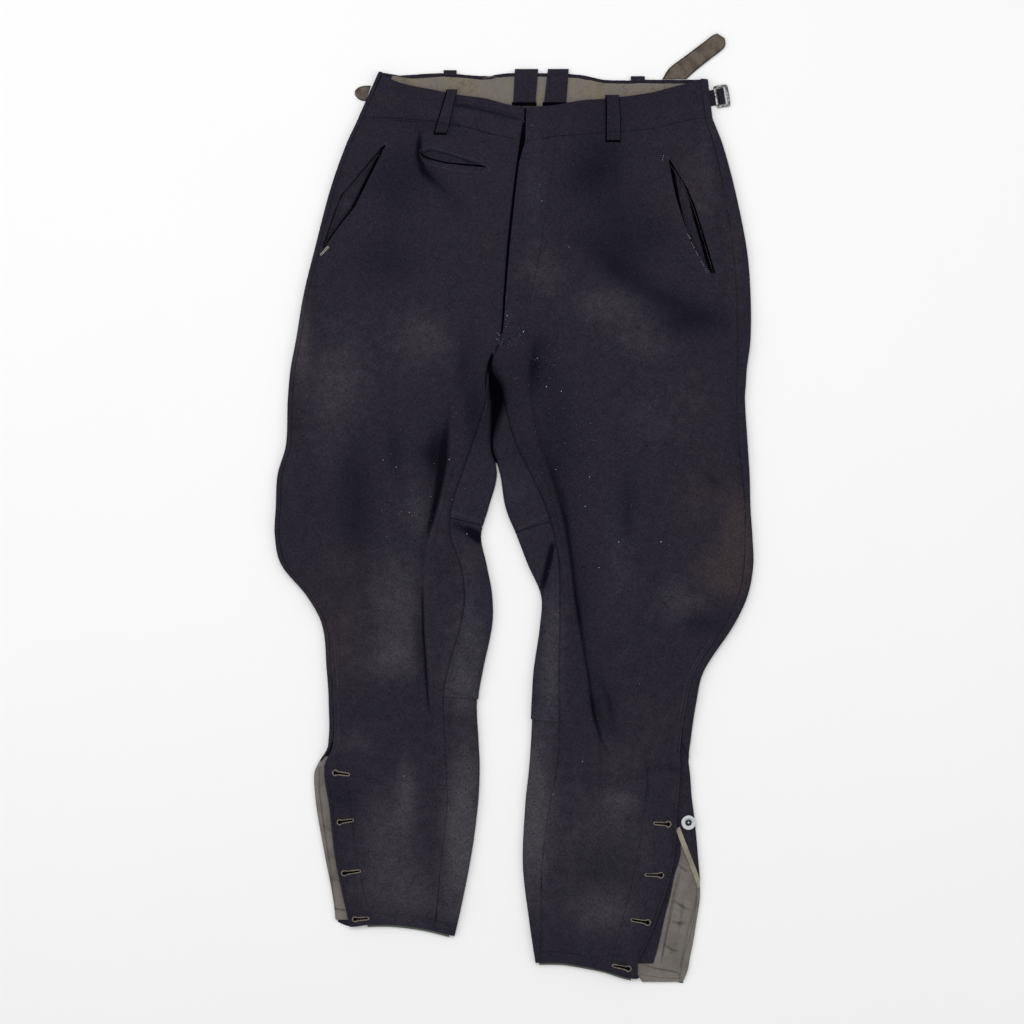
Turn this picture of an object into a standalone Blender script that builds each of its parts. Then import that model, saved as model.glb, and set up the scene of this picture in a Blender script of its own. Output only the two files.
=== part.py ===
"""Riding breeches in heavy navy wool, laid flat on a table with the front up.

The waist is towards +Y, the wearer's left is towards +X, and the cloth rests on the plane Z = 0.
Each leg is a flattened tube. The back is one panel that lies on the table, rolls up round both
edges and comes on to the top as far as its seams, and the front closes the tube between them.
Places are tailor's measures in millimetres: down from the top of the waist, and across from the
middle, positive towards the wearer's left. They become metres where a mesh is made.
"""
import math

import bmesh
import bpy
from mathutils import Matrix, Vector

MM = 0.001
WAIST_Y = 470.0          # the top of the back waistband lies this far up the table

# Cloth thicknesses and the clearance at every seam
WOOL = 1.8
BAND = 2.4
PATCH = 1.2
LINING = 0.9
STRAP = 1.2
SEAM = 0.3

# The buckle at the left side of the waist, and the cloth stay that holds it
BUCKLE_ACROSS = 225.0
BUCKLE_DOWN = 25.6
BUCKLE_LEAN = math.radians(9.3)
BUCKLE_LENGTH = 24.0
BUCKLE_LEFT = -8.7
BUCKLE_RIGHT = 6.9
BUCKLE_LEFT_BAR = 3.2
BUCKLE_RIGHT_BAR = 3.0
BUCKLE_END_BAR = 2.6
BUCKLE_PLATE = 1.6
BUCKLE_CORNER = 2.2
BUCKLE_INNER_CORNER = 0.8
PIN_RADIUS = 0.75
STAY_WIDTH = 17.0
STAY_WALL = 1.1
STAY_RADIUS = 1.65
STAY_REACH = -14.3
STAY_TURN = 25.0         # degrees between the points of the loop round the centre bar
STAY_END = ((-1.9, 1.3), (-3.5, 0.3))    # the loop's free end, along and up from the bar

# The button on the left placket
BUTTON_ACROSS = 188.0
BUTTON_DOWN = 809.0
BUTTON_HOLE = 0.9
BUTTON_HOLE_OFFSET = 1.7
BUTTON_HOLE_DEPTH = 8.0
# From the middle of its face, over the rim and back to the middle underneath: radius and height
BUTTON_PROFILE = [(0.0, 1.7), (4.2, 1.7), (5.6, 2.6), (6.9, 2.6), (7.8, 1.5), (6.4, 0.0), (0.0, 0.0)]

LEG_COLUMNS = ("down", "outer", "side", "press", "crease", "edge", "inner", "top", "fold", "roll")

# One row for each section across a leg. outer and inner are the outlines, side and edge are where
# the front panel ends, press and crease are the two long folds down it, top is the height of the
# upper layer, fold is how far it steps up at the crease, and roll is its height at the inner edge.
# Above the crotch, edge is the fly and inner is the centre back seam.
RIGHT_LEG = [
    (50, -168, -163, -140, -80, 25, 6, 6.5, 0.0, 6.0),
    (78, -181, -176, -146, -79, 22, 4, 6.5, 0.3, 6.0),
    (126, -198, -193, -150, -77, 17, 0, 6.5, 0.5, 6.0),
    (191, -215, -210, -152, -75, 9, -6, 6.5, 0.6, 6.0),
    (240, -227, -222, -153, -72, 4, -12, 6.6, 0.8, 6.0),
    (288, -235, -230, -154, -69, -14.2, -19, 6.7, 1.0, 6.0),
    (320, -241, -236, -154, -68, -27.2, -26.5, 6.7, 1.2, 6.0),
    (353, -244, -239, -154, -68, -34, -25.6, 6.8, 2.0, 5.8),
    (402, -246, -241, -154, -69, -47, -25.6, 6.8, 3.4, 5.8),
    (434, -255, -250, -155, -73, -58, -20, 6.8, 4.4, 5.8),
    (470, -257, -252, -156, -82, -67, -29, 6.7, 5.0, 5.8),
    (500, -258, -253, -156, -90, -68, -37, 6.6, 4.6, 5.8),
    (531, -251, -246, -154, -96, -57, -31, 6.5, 3.8, 5.8),
    (564, -224, -219, -146, -97, -53, -25, 6.4, 4.2, 5.8),
    (596, -207, -202, -138, -96, -57, -25, 6.4, 4.2, 5.8),
    (645, -202, -197, -132, -92, -71, -35, 6.4, 4.0, 5.8),
    (677, -200, -195, -132, -91, -76, -40, 6.4, 3.0, 5.8),
    (726, -201, -196, -138, -95, -74, -38, 6.3, 1.6, 5.8),
    (750, -214, -205, -145, -97, -73, -37, 6.3, 1.3, 5.8),
    (791, -213, -200, -146, -101, -72, -39, 6.2, 1.0, 5.8),
    (855, -202, -192, -145, -110, -79, -48, 6.1, 0.6, 5.8),
    (920, -192, -178, -142, -117, -85, -64, 6.0, 0.2, 5.8),
]
LEFT_LEG = [
    (50, 214, 206, 150, 50, 12, 6, 6.5, 0.0, 6.0),
    (78, 220, 211, 152, 46, 8, 4, 6.5, 0.3, 6.0),
    (126, 238, 226, 155, 40, 2, 0, 6.5, 0.5, 6.0),
    (191, 251, 236, 150, 33, -5, -6, 6.5, 0.6, 6.0),
    (240, 255, 240, 140, 26, -9, -12, 6.6, 0.8, 6.0),
    (288, 255, 241, 125, 20, -13.8, -19, 6.7, 1.0, 6.0),
    (320, 251, 241, 116, 17, -26.8, -26, 6.7, 1.4, 5.0),
    (336, 250, 240.5, 113, 17, -16.5, -24, 6.8, 1.8, 5.4),
    (353, 249, 240, 110, 17, -12, -22, 6.8, 2.2, 5.2),
    (402, 252, 242, 106, 27, 2, -22, 6.8, 4.0, 4.8),
    (434, 254, 246, 105, 38, 18, -13.5, 6.8, 4.8, 5.0),
    (470, 255, 249, 104, 48, 34, -7.5, 6.7, 5.0, 5.8),
    (500, 257, 249, 104, 56, 43, 4.5, 6.6, 5.0, 5.8),
    (531, 258, 248, 106, 61, 48, 16.5, 6.5, 5.0, 5.8),
    (564, 252, 242, 108, 64, 49, 30.5, 6.4, 5.0, 5.8),
    (596, 237, 227, 112, 68, 49, 29.5, 6.4, 4.6, 5.8),
    (645, 205, 196, 120, 76, 48, 22.5, 6.4, 4.2, 5.8),
    (677, 197, 187, 125, 80, 48, 20.5, 6.5, 4.0, 5.8),
    (726, 190, 180, 132, 92, 48, 18, 6.6, 2.6, 5.8),
    (752, 190, 180, 134, 93, 46, 16, 6.7, 2.0, 5.8),
    (791, 192, 177, 135, 92, 38, 12, 6.8, 1.5, 5.8),
    (855, 199, 172, 130, 90, 30, 9.5, 6.8, 1.0, 5.8),
    (920, 193, 152, 118, 86, 29, 17, 6.8, 0.5, 5.8),
    (960, 184, 134, 110, 82, 28, 23, 6.8, 0.2, 5.8),
]

# The waist, read across it: the top edges of the back and front bands, the seam under the front
# band, and how far the band leans in from that seam to its top edge
WAIST_COLUMNS = ("across", "back_top", "front_top", "seam", "lean")
WAIST = [
    (-168, 0, 1, 50, 22),
    (-146, 0, 2, 50, 18),
    (-123, 3, 12, 51, 12),
    (-85, 1, 20, 54, 5),
    (-60, 2, 25, 58, 2),
    (-30, 4, 29, 66, 0),
    (-8, 1, 35, 71, 0),
    (14, 1, 38, 75, 1),
    (44, 1, 36, 70, 0),
    (72, 3, 31, 68, 0),
    (99, 8, 29, 66, 0),
    (146, 8, 23, 62, 0),
    (181, 8, 14, 54, -2),
    (205, 8, 9, 50, -5),
    (214, 8, 9, 50, -5),
]
SEAM_STATION = 50.0      # the leg tables start at the waist seam as it lies at the sides
SEAM_FADE = 110.0        # the dip of the seam towards the fly is gone this far below it

HEM_COLUMNS = ("across", "down")
RIGHT_HEM = [(-193, 915), (-178, 921), (-156, 919), (-132, 919), (-99, 923), (-66, 931)]
LEFT_HEM = [(16, 960), (50, 960), (71, 963), (96, 968), (127, 977), (149, 976), (184, 983)]
HEM_FADE = 70.0

# Where the rolled edges open out flat: the crotch and the tops of the two plackets
CROTCH = (304.0, 314.0, 324.0, 334.0, 344.0)
PLACKET_TOP = (720.0, 728.0, 736.0, 744.0, 752.0)
PLACKET_EASE = 0.6       # how far the front draws back from the side seam at its placket
PLACKET_RUN_IN = 30.0
FLAT_RUN = 34.0
UNROLLED_INSET = 2.0     # below a placket's top the back ends this far inside the outline
CROTCH_EASE = 1.6        # how far the front seam opens where the four seams meet
SHORTEST_RETURN = 1.3    # a panel comes at least this far past its roll before its seam

MIDWAY_FROM = 40.0       # sections further apart than this get one more between them

# The left front is lifted over the right one along the fly, down to the end of the opening
FLY_END = 288.0
FLY_CLEAR = 304.0
FLY_LIFT = 2.6
FLY_WIDTH = 34.0

# Patches: the seam at which each ends, from its inner corner to its front corner
PATCH_TOP = 353.0
THIGH_HEM = {"right": (490.0, 480.0), "left": (498.0, 484.0)}
KNEE_HEM = {"right": (676.0, 673.0), "left": (697.0, 701.0)}
PATCH_STEP = 1.2

# Pocket mouths: a row for each point along one, with down and across for each of its two lips
HIP_RIGHT = [
    (82, -143, 79, -139),
    (110, -167, 105, -152),
    (134, -187, 127, -163),
    (155, -195, 146, -173),
    (176, -202, 166, -189),
    (192, -207, 188, -204),
]
HIP_LEFT = [
    (96, 169, 95, 166),
    (108, 177, 112, 171),
    (126, 189, 138, 176),
    (146, 197, 156, 182),
    (176, 205, 184, 196),
    (218, 217, 219, 214),
]
WATCH = [
    (88, -98, 87, -98),
    (94, -90, 86, -88),
    (99, -72, 90, -68),
    (104, -50, 98, -48),
    (106, -31, 105, -31),
]
FACING_MARGIN = 7.0
FACING_CLEAR = 0.15      # more room under the panel, whose faces are flat
MOUTH_TOP = 14.0
MOUTH_BOTTOM = 4.0

# The lining inside the back waistband, and the tabs and loops that come over its edge: for each,
# its two edges across where it ends, and how far each edge moves across for each millimetre up
LINING_REACH = (-150.0, 200.0)
LINING_BOTTOM = 46.0
LINING_DROP = 4.0        # below the band's top edge
BACK_TABS = {"right": (-1.0, 23.0, 0.05, 0.08), "left": (32.0, 56.0, 0.12, 0.08)}
TAB_END = 35.0
TAB_DOWNS = (35.0, 20.0, 9.0, 2.5)
TAB_OVER = ((-1.4, 0.0), (-3.3, -1.1))    # over the edge: down, and how far it drops
BACK_LOOPS = {"right": (-76.0, -62.0, 0.0), "left": (126.0, 141.0, 6.5)}
LOOP_OVER = ((3.5, 0.0), (0.0, 0.0), (-2.0, -1.3))

# Front belt loops: down, the two edges across, and how far the loop bows off the band
BELT_LOOP_RIGHT = [
    (19.5, -71.5, -61.5, 0.0),
    (30, -74, -64, 1.2),
    (43, -78, -67, 1.5),
    (56, -82, -70, 0.8),
    (66, -85, -73, 0.0),
]
BELT_LOOP_LEFT = [
    (25.5, 99.5, 112.5, 0.0),
    (37, 100, 113, 1.2),
    (50, 100, 114, 1.5),
    (63, 100, 114, 0.8),
    (74, 100, 114, 0.0),
]

# The long strap end, from the band's edge to its tip: the left and right edges and the height
STRAP_END = [
    ((160, 7.2), (186, 7.2), 0.9),
    ((168, -5), (196, -2), 1.2),
    ((184, -17), (211, -14), 1.8),
    ((204, -32), (225, -25), 2.2),
    ((213, -39), (228, -31), 2.0),
    ((219, -42), (227, -37), 1.8),
]

# The short strap end, from the band to its round end: its upper and lower edges
STRAP_TAB = [
    ((-154.6, 14.2), (-159.9, 30.8)),
    ((-161.5, 14.4), (-163.5, 30.4)),
    ((-166.5, 15.6), (-167.5, 28.8)),
    ((-170, 18), (-170, 26.5)),
    ((-171.6, 20.5), (-171.6, 24)),
]

# Placket pieces: down, and the two edges across
UNDERLAP_RIGHT = [
    (757, -215.5, -186),
    (775, -215, -184),
    (800, -212, -182),
    (828, -207, -178),
    (855, -202, -176),
    (880, -197, -170),
    (899, -194, -166),
    (914, -192.5, -162),
]
UNDERLAP_LEFT = [
    (760, 166, 190.5),
    (781, 166, 192),
    (800, 168, 194),
    (814, 172, 195.5),
    (830, 182, 197),
    (848, 190, 198.5),
    (865, 196.5, 200),
]
FACING_LEFT = [
    (822, 160, 184),
    (840, 158, 190),
    (858, 154, 196),
    (875, 150, 200),
    (890, 147, 200.5),
    (904, 143, 198.5),
    (920, 138, 194.5),
    (936, 133, 190.5),
    (953, 132, 186),
    (969, 132, 182),
    (980, 138, 178.5),
]
HEM_BINDING = {"right": (-158.0, -70.0), "left": (27.0, 126.0)}
HEM_REACH = (-12.0, 2.8)    # up the leg from the hem, and below it

collection = bpy.data.collections.new("riding_breeches")
cutters = bpy.data.collections.new("cutters")


def clear_scene():
    for obj in list(bpy.data.objects):
        bpy.data.objects.remove(obj, do_unlink=True)
    bpy.context.scene.collection.children.link(collection)
    bpy.context.scene.collection.children.link(cutters)


def make_material(name, colour, roughness, metallic=0.0):
    material = bpy.data.materials.new(name)
    material.use_nodes = True
    shader = material.node_tree.nodes["Principled BSDF"]
    shader.inputs["Base Color"].default_value = (*colour, 1.0)
    shader.inputs["Roughness"].default_value = roughness
    shader.inputs["Metallic"].default_value = metallic
    return material


def blend(a, b, share):
    return a + (b - a) * share


def ease(value, start, end):
    share = min(max((value - start) / (end - start), 0.0), 1.0)
    return share * share * (3.0 - 2.0 * share)


def read_table(table, columns, at, wanted):
    """A column of a table at any value of the first column, on a smooth curve through its rows."""
    column = columns.index(wanted)
    if at <= table[0][0]:
        return float(table[0][column])
    if at >= table[-1][0]:
        return float(table[-1][column])
    index = next(i for i in range(len(table) - 1) if at <= table[i + 1][0])

    def slope(row):
        low = max(row - 1, 0)
        high = min(row + 1, len(table) - 1)
        return (table[high][column] - table[low][column]) / (table[high][0] - table[low][0])

    start, end = table[index], table[index + 1]
    span = end[0] - start[0]
    t = (at - start[0]) / span
    return (
        (2 * t**3 - 3 * t**2 + 1) * start[column]
        + (t**3 - 2 * t**2 + t) * span * slope(index)
        + (3 * t**2 - 2 * t**3) * end[column]
        + (t**3 - t**2) * span * slope(index + 1)
    )


def waist(across, wanted):
    return read_table(WAIST, WAIST_COLUMNS, across, wanted)


class Leg:
    """One leg's tables and the sections that they give."""

    def __init__(self, name, table, hem, sign):
        self.name = name
        self.table = table
        self.hem = hem
        self.sign = sign
        self.stations = self.make_stations()

    def make_stations(self):
        downs = [row[0] for row in self.table]
        stations = []
        for low, high in zip(downs, downs[1:]):
            stations.append(float(low))
            if high - low > MIDWAY_FROM:
                stations.append((low + high) / 2)
        stations.append(float(downs[-1]))
        for turn in (CROTCH, PLACKET_TOP):
            stations = [down for down in stations if not turn[0] - 6 < down < turn[-1] + 6]
            stations += turn
        return sorted(stations)

    def at(self, down, wanted):
        return read_table(self.table, LEG_COLUMNS, down, wanted)

    def hem_shift(self, across, down):
        last = self.table[-1][0]
        share = ease(down, last - HEM_FADE, last)
        return share * (read_table(self.hem, HEM_COLUMNS, across, "down") - last)

    def inner_wrap(self, down):
        return min(max((down - CROTCH[0]) / (CROTCH[-1] - CROTCH[0]), 0.0), 1.0)

    def outer_wrap(self, down):
        return 1.0 - min(max((down - PLACKET_TOP[0]) / (PLACKET_TOP[-1] - PLACKET_TOP[0]), 0.0), 1.0)

    def fly_lift(self, down):
        if self.name == "right":
            return 0.0
        return FLY_LIFT * (1.0 - ease(down, FLY_END, FLY_CLEAR))

    def roll_centre(self, outline, height, way):
        return outline - way * (WOOL / 2 + (height - WOOL / 2) / 2)

    def seam_past_roll(self, outline, seam, height, way):
        """A seam's place across, kept past the roll that it ends."""
        centre = self.roll_centre(outline, height, way)
        return centre - way * max(SHORTEST_RETURN, way * (centre - seam))

    def side_seam(self, down):
        seam = self.at(down, "side")
        held = self.seam_past_roll(self.at(down, "outer"), seam, self.at(down, "top"), self.sign)
        return blend(seam, held, self.outer_wrap(down))

    def inner_seam(self, down):
        seam = self.at(down, "edge")
        held = self.seam_past_roll(self.at(down, "inner"), seam, self.at(down, "roll"), -self.sign)
        share = self.inner_wrap(down)
        return blend(seam, held, share) + self.sign * CROTCH_EASE * math.sin(math.pi * share)

    def seam_height(self, down):
        """The height of the front's inner edge, where it meets the back below the crotch."""
        return self.at(down, "top") + 0.4 * self.at(down, "fold") * self.inner_wrap(down)

    def front_section(self, down):
        """The front panel's middle surface, from its inner edge to its side edge."""
        s = self.sign
        edge = self.inner_seam(down) + s * SEAM / 2
        crease = self.at(down, "crease")
        press = self.at(down, "press")
        ease_in = PLACKET_EASE * ease(down, PLACKET_TOP[0] - PLACKET_RUN_IN, PLACKET_TOP[0])
        side = self.side_seam(down) - s * (SEAM / 2 + ease_in)
        top = self.at(down, "top")
        fold = self.at(down, "fold")
        lift = self.fly_lift(down)
        width = min(FLY_WIDTH, 0.45 * abs(crease - edge))
        inner_height = self.seam_height(down)
        high = crease - s * 3.0
        low = crease + s * 4.0
        return [
            (edge, inner_height + lift),
            (edge + s * width, blend(inner_height, top + fold, 0.5) + lift),
            (blend(edge + s * width, high, 0.6), top + 0.85 * fold + 0.2 * lift),
            (high, top + fold),
            (low, top - 0.12 * fold),
            (blend(low, press, 0.5), top + 0.2),
            (press, top + 1.1),
            (blend(press, side, 0.35), top + 0.4),
            (blend(press, side, 0.7), top + 0.3),
            (side, top),
        ]

    def back_section(self, down):
        """The back panel's middle surface, from its inner end, under the leg, to its side seam."""
        inner = self.inner_end(down)
        outer = self.outer_end(down)
        start, end = inner[-1][0], outer[0][0]
        bottom = [(blend(start, end, share), WOOL / 2) for share in (0.25, 0.5, 0.75)]
        return inner + bottom + outer

    def end_points(self, flat_end, outline, seam, height, seam_height, way, share):
        """An end of a section, from its free edge inwards, rolled up by a share of a half turn."""
        low = WOOL / 2
        radius = (height - low) / 2
        run = way * (self.roll_centre(outline, height, way) - seam) - SEAM / 2
        arc = math.pi * radius
        turn = math.pi * share
        spare = (run + arc) * share - turn * radius
        reach = radius if turn > math.pi / 2 else radius * math.sin(turn) + spare * math.cos(turn)
        half_wall = WOOL / 2 * math.sin(min(turn, math.pi / 2))
        tangent = blend(flat_end, outline, share) - way * (half_wall + reach)
        rise = share**4 * (seam_height - height)
        rolled = [0.0, 0.35 * run, 0.7 * run] + [run + arc * step / 4 for step in range(5)]
        points = []
        for index, distance in enumerate(rolled):
            back = (run + arc) * share - blend(FLAT_RUN * index / (len(rolled) - 1), distance, share)
            angle = min(max(back, 0.0) / radius, turn)
            rest = back - angle * radius
            x = tangent + way * (radius * math.sin(angle) + rest * math.cos(angle))
            z = low + radius * (1.0 - math.cos(angle)) + max(rest, 0.0) * math.sin(angle)
            points.append((x, z + rise * (1.0, 1.0, 0.4, 0.0)[min(index, 3)]))
        return points

    def mix(self, first, second, share):
        return [
            (blend(a[0], b[0], share), blend(a[1], b[1], share))
            for a, b in zip(first, second)
        ]

    def inner_end(self, down):
        s = self.sign
        inner = self.at(down, "inner")
        roll = self.at(down, "roll")
        seam = self.seam_past_roll(inner, self.at(down, "edge"), roll, -s)
        height = self.seam_height(down)
        return self.end_points(inner + s * SEAM / 2, inner, seam, roll, height, -s, self.inner_wrap(down))

    def outer_end(self, down):
        s = self.sign
        outer = self.at(down, "outer")
        top = self.at(down, "top")
        seam = self.seam_past_roll(outer, self.at(down, "side"), top, s)
        points = self.end_points(
            outer - s * UNROLLED_INSET, outer, seam, top, top, s, self.outer_wrap(down)
        )
        return points[::-1]


def place(across, down, height):
    return (across * MM, (WAIST_Y - down) * MM, height * MM)


def add_object(name, mesh, material, group=None):
    obj = bpy.data.objects.new(name, mesh)
    mesh.materials.append(material)
    mesh.shade_smooth()
    mesh.set_sharp_from_angle(angle=math.radians(50))
    (group or collection).objects.link(obj)
    return obj


def sheet(name, rows, thickness, material):
    """An open grid of cloth with a thickness. Each point is across, down, height."""
    mesh = bpy.data.meshes.new(name)
    width = len(rows[0])
    points = [place(*point) for row in rows for point in row]
    faces = [
        (r * width + c, r * width + c + 1, (r + 1) * width + c + 1, (r + 1) * width + c)
        for r in range(len(rows) - 1)
        for c in range(width - 1)
    ]
    mesh.from_pydata(points, [], faces)
    obj = add_object(name, mesh, material)
    solidify = obj.modifiers.new("thickness", "SOLIDIFY")
    solidify.thickness = thickness * MM
    solidify.offset = 0.0
    solidify.use_even_offset = True
    solidify.use_quality_normals = True
    return obj


def raised(points, distance):
    """A section's points moved out along its normals, to lie on the outside of the cloth."""
    normals = []
    for (x0, z0), (x1, z1) in zip(points, points[1:]):
        length = math.hypot(x1 - x0, z1 - z0)
        normals.append(Vector(((z0 - z1) / length, (x1 - x0) / length)))
    moved = []
    for index, (x, z) in enumerate(points):
        before = normals[max(index - 1, 0)]
        after = normals[min(index, len(normals) - 1)]
        middle = (before + after) / 2
        out = middle * (distance / middle.length_squared)
        moved.append((x + out.x, z + out.y))
    return moved


def front_row(leg, station):
    """One row of a front panel, dipped to the waist seam at the top and slanted at the hem.

    The first row keeps its section's own places, because the waistband meets the back there.
    """
    row = []
    fade = 1.0 - ease(station, SEAM_STATION, SEAM_STATION + SEAM_FADE)
    for column, (across, _) in enumerate(leg.front_section(station)):
        dip = fade * (waist(across, "seam") - SEAM_STATION)
        down = station + dip + leg.hem_shift(across, station)
        source = down if station > SEAM_STATION else station
        x, z = leg.front_section(source)[column]
        row.append((x, down, z))
    return row


def back_row(leg, station):
    return [(x, station + leg.hem_shift(x, station), z) for x, z in leg.back_section(station)]


def make_legs(legs, wool, worn):
    for leg in legs:
        rows = [back_row(leg, station) for station in leg.stations]
        sheet("back_" + leg.name, rows, WOOL, wool)
        rows = [front_row(leg, station) for station in leg.stations]
        sheet("front_" + leg.name, rows, WOOL, wool)
        make_patch("thigh_patch_" + leg.name, leg, (PATCH_TOP, PATCH_TOP), THIGH_HEM[leg.name], worn)
        top = tuple(down + PATCH_STEP for down in THIGH_HEM[leg.name])
        make_patch("knee_patch_" + leg.name, leg, top, KNEE_HEM[leg.name], worn)


def on_the_mesh(leg, down, section):
    """A section as the panel's own faces give it, straight between two of its stations."""
    high = next(station for station in leg.stations if station >= down)
    low = max(station for station in leg.stations if station <= down)
    share = (down - low) / (high - low) if high > low else 0.0
    return leg.mix(section(low), section(high), share)


def make_patch(name, leg, top, hem, material):
    """A patch on the back's return, from the inner edge to the seam, between two slanted ends."""
    ends = [tuple(blend(line[1], line[0], column / 5) for column in range(6)) for line in (top, hem)]
    between = [station for station in leg.stations if max(top) < station < min(hem)]
    downs = [ends[0]] + [(station,) * 6 for station in between] + [ends[1]]
    rows = []
    for row_downs in downs:
        row = []
        for column, down in enumerate(row_downs):
            points = on_the_mesh(leg, down, leg.inner_end)
            x, z = raised(points, -leg.sign * (WOOL / 2 + SEAM + PATCH / 2))[column]
            row.append((x, down, z))
        rows.append(row)
    sheet(name, rows, PATCH, material)


def band_row(points, share, edge):
    """A row of a waistband above a panel's first row of points, at a share of its height."""
    row = []
    for x, down, z in points:
        top_x = x + waist(x, "lean")
        row.append((blend(x, top_x, share), blend(down - SEAM, waist(top_x, edge), share), z))
    return row


def make_waist(legs, wool, lining, strap):
    right, left = legs
    shares = (0.0, 0.34, 0.67, 1.0)
    for leg in legs:
        points = front_row(leg, leg.stations[0])
        rows = [band_row(points, share, "front_top") for share in shares]
        sheet("waistband_" + leg.name, rows, BAND, wool)
    points = back_row(right, right.stations[0])[::-1] + back_row(left, left.stations[0])[1:]
    rows = [band_row(points, share, "back_top") for share in shares]
    sheet("waistband_back", rows, WOOL, wool)

    height = WOOL + SEAM + LINING / 2
    columns = [blend(*LINING_REACH, k / 14) for k in range(15)]
    rows = []
    for share in (0.0, 0.5, 1.0):
        rows.append([
            (
                x + share * waist(x, "lean"),
                blend(LINING_BOTTOM, waist(x, "back_top") + LINING_DROP, share),
                height,
            )
            for x in columns
        ])
    sheet("waistband_lining", rows, LINING, lining)

    edge = WOOL + SEAM + STRAP / 2
    over = edge + LINING + SEAM
    for side, (low, high, low_slope, high_slope) in BACK_TABS.items():
        levels = [(down, over) for down in TAB_DOWNS] + [(down, edge + drop) for down, drop in TAB_OVER]
        rows = [
            (low + low_slope * (TAB_END - down), high + high_slope * (TAB_END - down), down, z)
            for down, z in levels
        ]
        make_strip("back_tab_" + side, rows, wool)
    for side, (low, high, start) in BACK_LOOPS.items():
        rows = [(low, high, down + start, edge + drop) for down, drop in LOOP_OVER]
        make_strip("back_loop_" + side, rows, wool)

    for leg, table in ((right, BELT_LOOP_RIGHT), (left, BELT_LOOP_LEFT)):
        rows = [
            (low, high, down, leg.at(SEAM_STATION, "top") + BAND / 2 + SEAM + STRAP / 2 + bow)
            for down, low, high, bow in table
        ]
        make_strip("belt_loop_" + leg.name, rows, wool)

    ends = [(*row, STRAP / 2) for row in STRAP_TAB]
    for name, table in (("strap_end", STRAP_END), ("strap_tab", ends)):
        rows = [
            [(blend(a[0], b[0], k / 4), blend(a[1], b[1], k / 4), z) for k in range(5)]
            for a, b, z in table
        ]
        sheet(name, rows, STRAP, strap)


def make_strip(name, rows, material):
    """A narrow strip of folded cloth: each row gives its two edges across, its down and height."""
    grid = [[(blend(low, high, k / 3), down, z) for k in range(4)] for low, high, down, z in rows]
    return sheet(name, grid, STRAP, material)


def panel_height(leg, across, down):
    """The height of a front panel's middle surface at a place on it."""
    section = sorted(leg.front_section(down))
    for (x0, z0), (x1, z1) in zip(section, section[1:]):
        if x0 <= across <= x1:
            return blend(z0, z1, (across - x0) / (x1 - x0))
    return leg.at(down, "top")


def make_pocket(name, leg, mouth, material):
    """A mouth cut through the front panel, with the pocket's facing lying under it."""
    outline = [(row[1], row[0]) for row in mouth] + [(row[3], row[2]) for row in mouth[::-1]]
    mesh = bpy.data.meshes.new(name + "_mouth")
    cutter = bmesh.new()
    lower = [cutter.verts.new(place(x, down, MOUTH_BOTTOM)) for x, down in outline]
    cutter.faces.new(lower)
    lifted = bmesh.ops.extrude_face_region(cutter, geom=cutter.faces[:])
    moved = [item for item in lifted["geom"] if isinstance(item, bmesh.types.BMVert)]
    bmesh.ops.translate(cutter, verts=moved, vec=(0, 0, (MOUTH_TOP - MOUTH_BOTTOM) * MM))
    bmesh.ops.recalc_face_normals(cutter, faces=cutter.faces[:])
    cutter.to_mesh(mesh)
    cutter.free()
    tool = add_object(name + "_mouth", mesh, material, cutters)
    tool.hide_render = True
    tool.display_type = "WIRE"
    panel = bpy.data.objects["front_" + leg.name]
    cut = panel.modifiers.new(name, "BOOLEAN")
    cut.operation = "DIFFERENCE"
    cut.solver = "EXACT"
    cut.object = tool

    drop = WOOL / 2 + SEAM + LINING / 2 + FACING_CLEAR
    rows = []
    for down_a, across_a, down_b, across_b in mouth:
        a = Vector((across_a, down_a))
        b = Vector((across_b, down_b))
        way = (b - a).normalized() if (b - a).length > 0 else Vector((0.0, -1.0))
        a = a - way * FACING_MARGIN
        b = b + way * FACING_MARGIN
        row = []
        for k in range(4):
            point = a.lerp(b, k / 3)
            row.append((point.x, point.y, panel_height(leg, point.x, point.y) - drop))
        rows.append(row)
    sheet(name, rows, LINING, material)


def make_plackets(legs, wool, lining, button_material):
    low = WOOL + SEAM + LINING / 2
    high = low + LINING + SEAM
    pieces = (
        ("placket_right", UNDERLAP_RIGHT, low, lining),
        ("placket_facing", FACING_LEFT, low, lining),
        ("placket_left", UNDERLAP_LEFT, high, wool),
    )
    for name, table, height, material in pieces:
        rows = [[(blend(a, b, k / 3), down, height) for k in range(4)] for down, a, b in table]
        sheet(name, rows, LINING, material)

    for leg in legs:
        columns = [blend(*HEM_BINDING[leg.name], k / 8) for k in range(9)]
        rows = [
            [(x, read_table(leg.hem, HEM_COLUMNS, x, "down") + offset, low) for x in columns]
            for offset in HEM_REACH
        ]
        sheet("hem_" + leg.name, rows, LINING, lining)

    make_button(high + LINING / 2 + SEAM, button_material)


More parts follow.
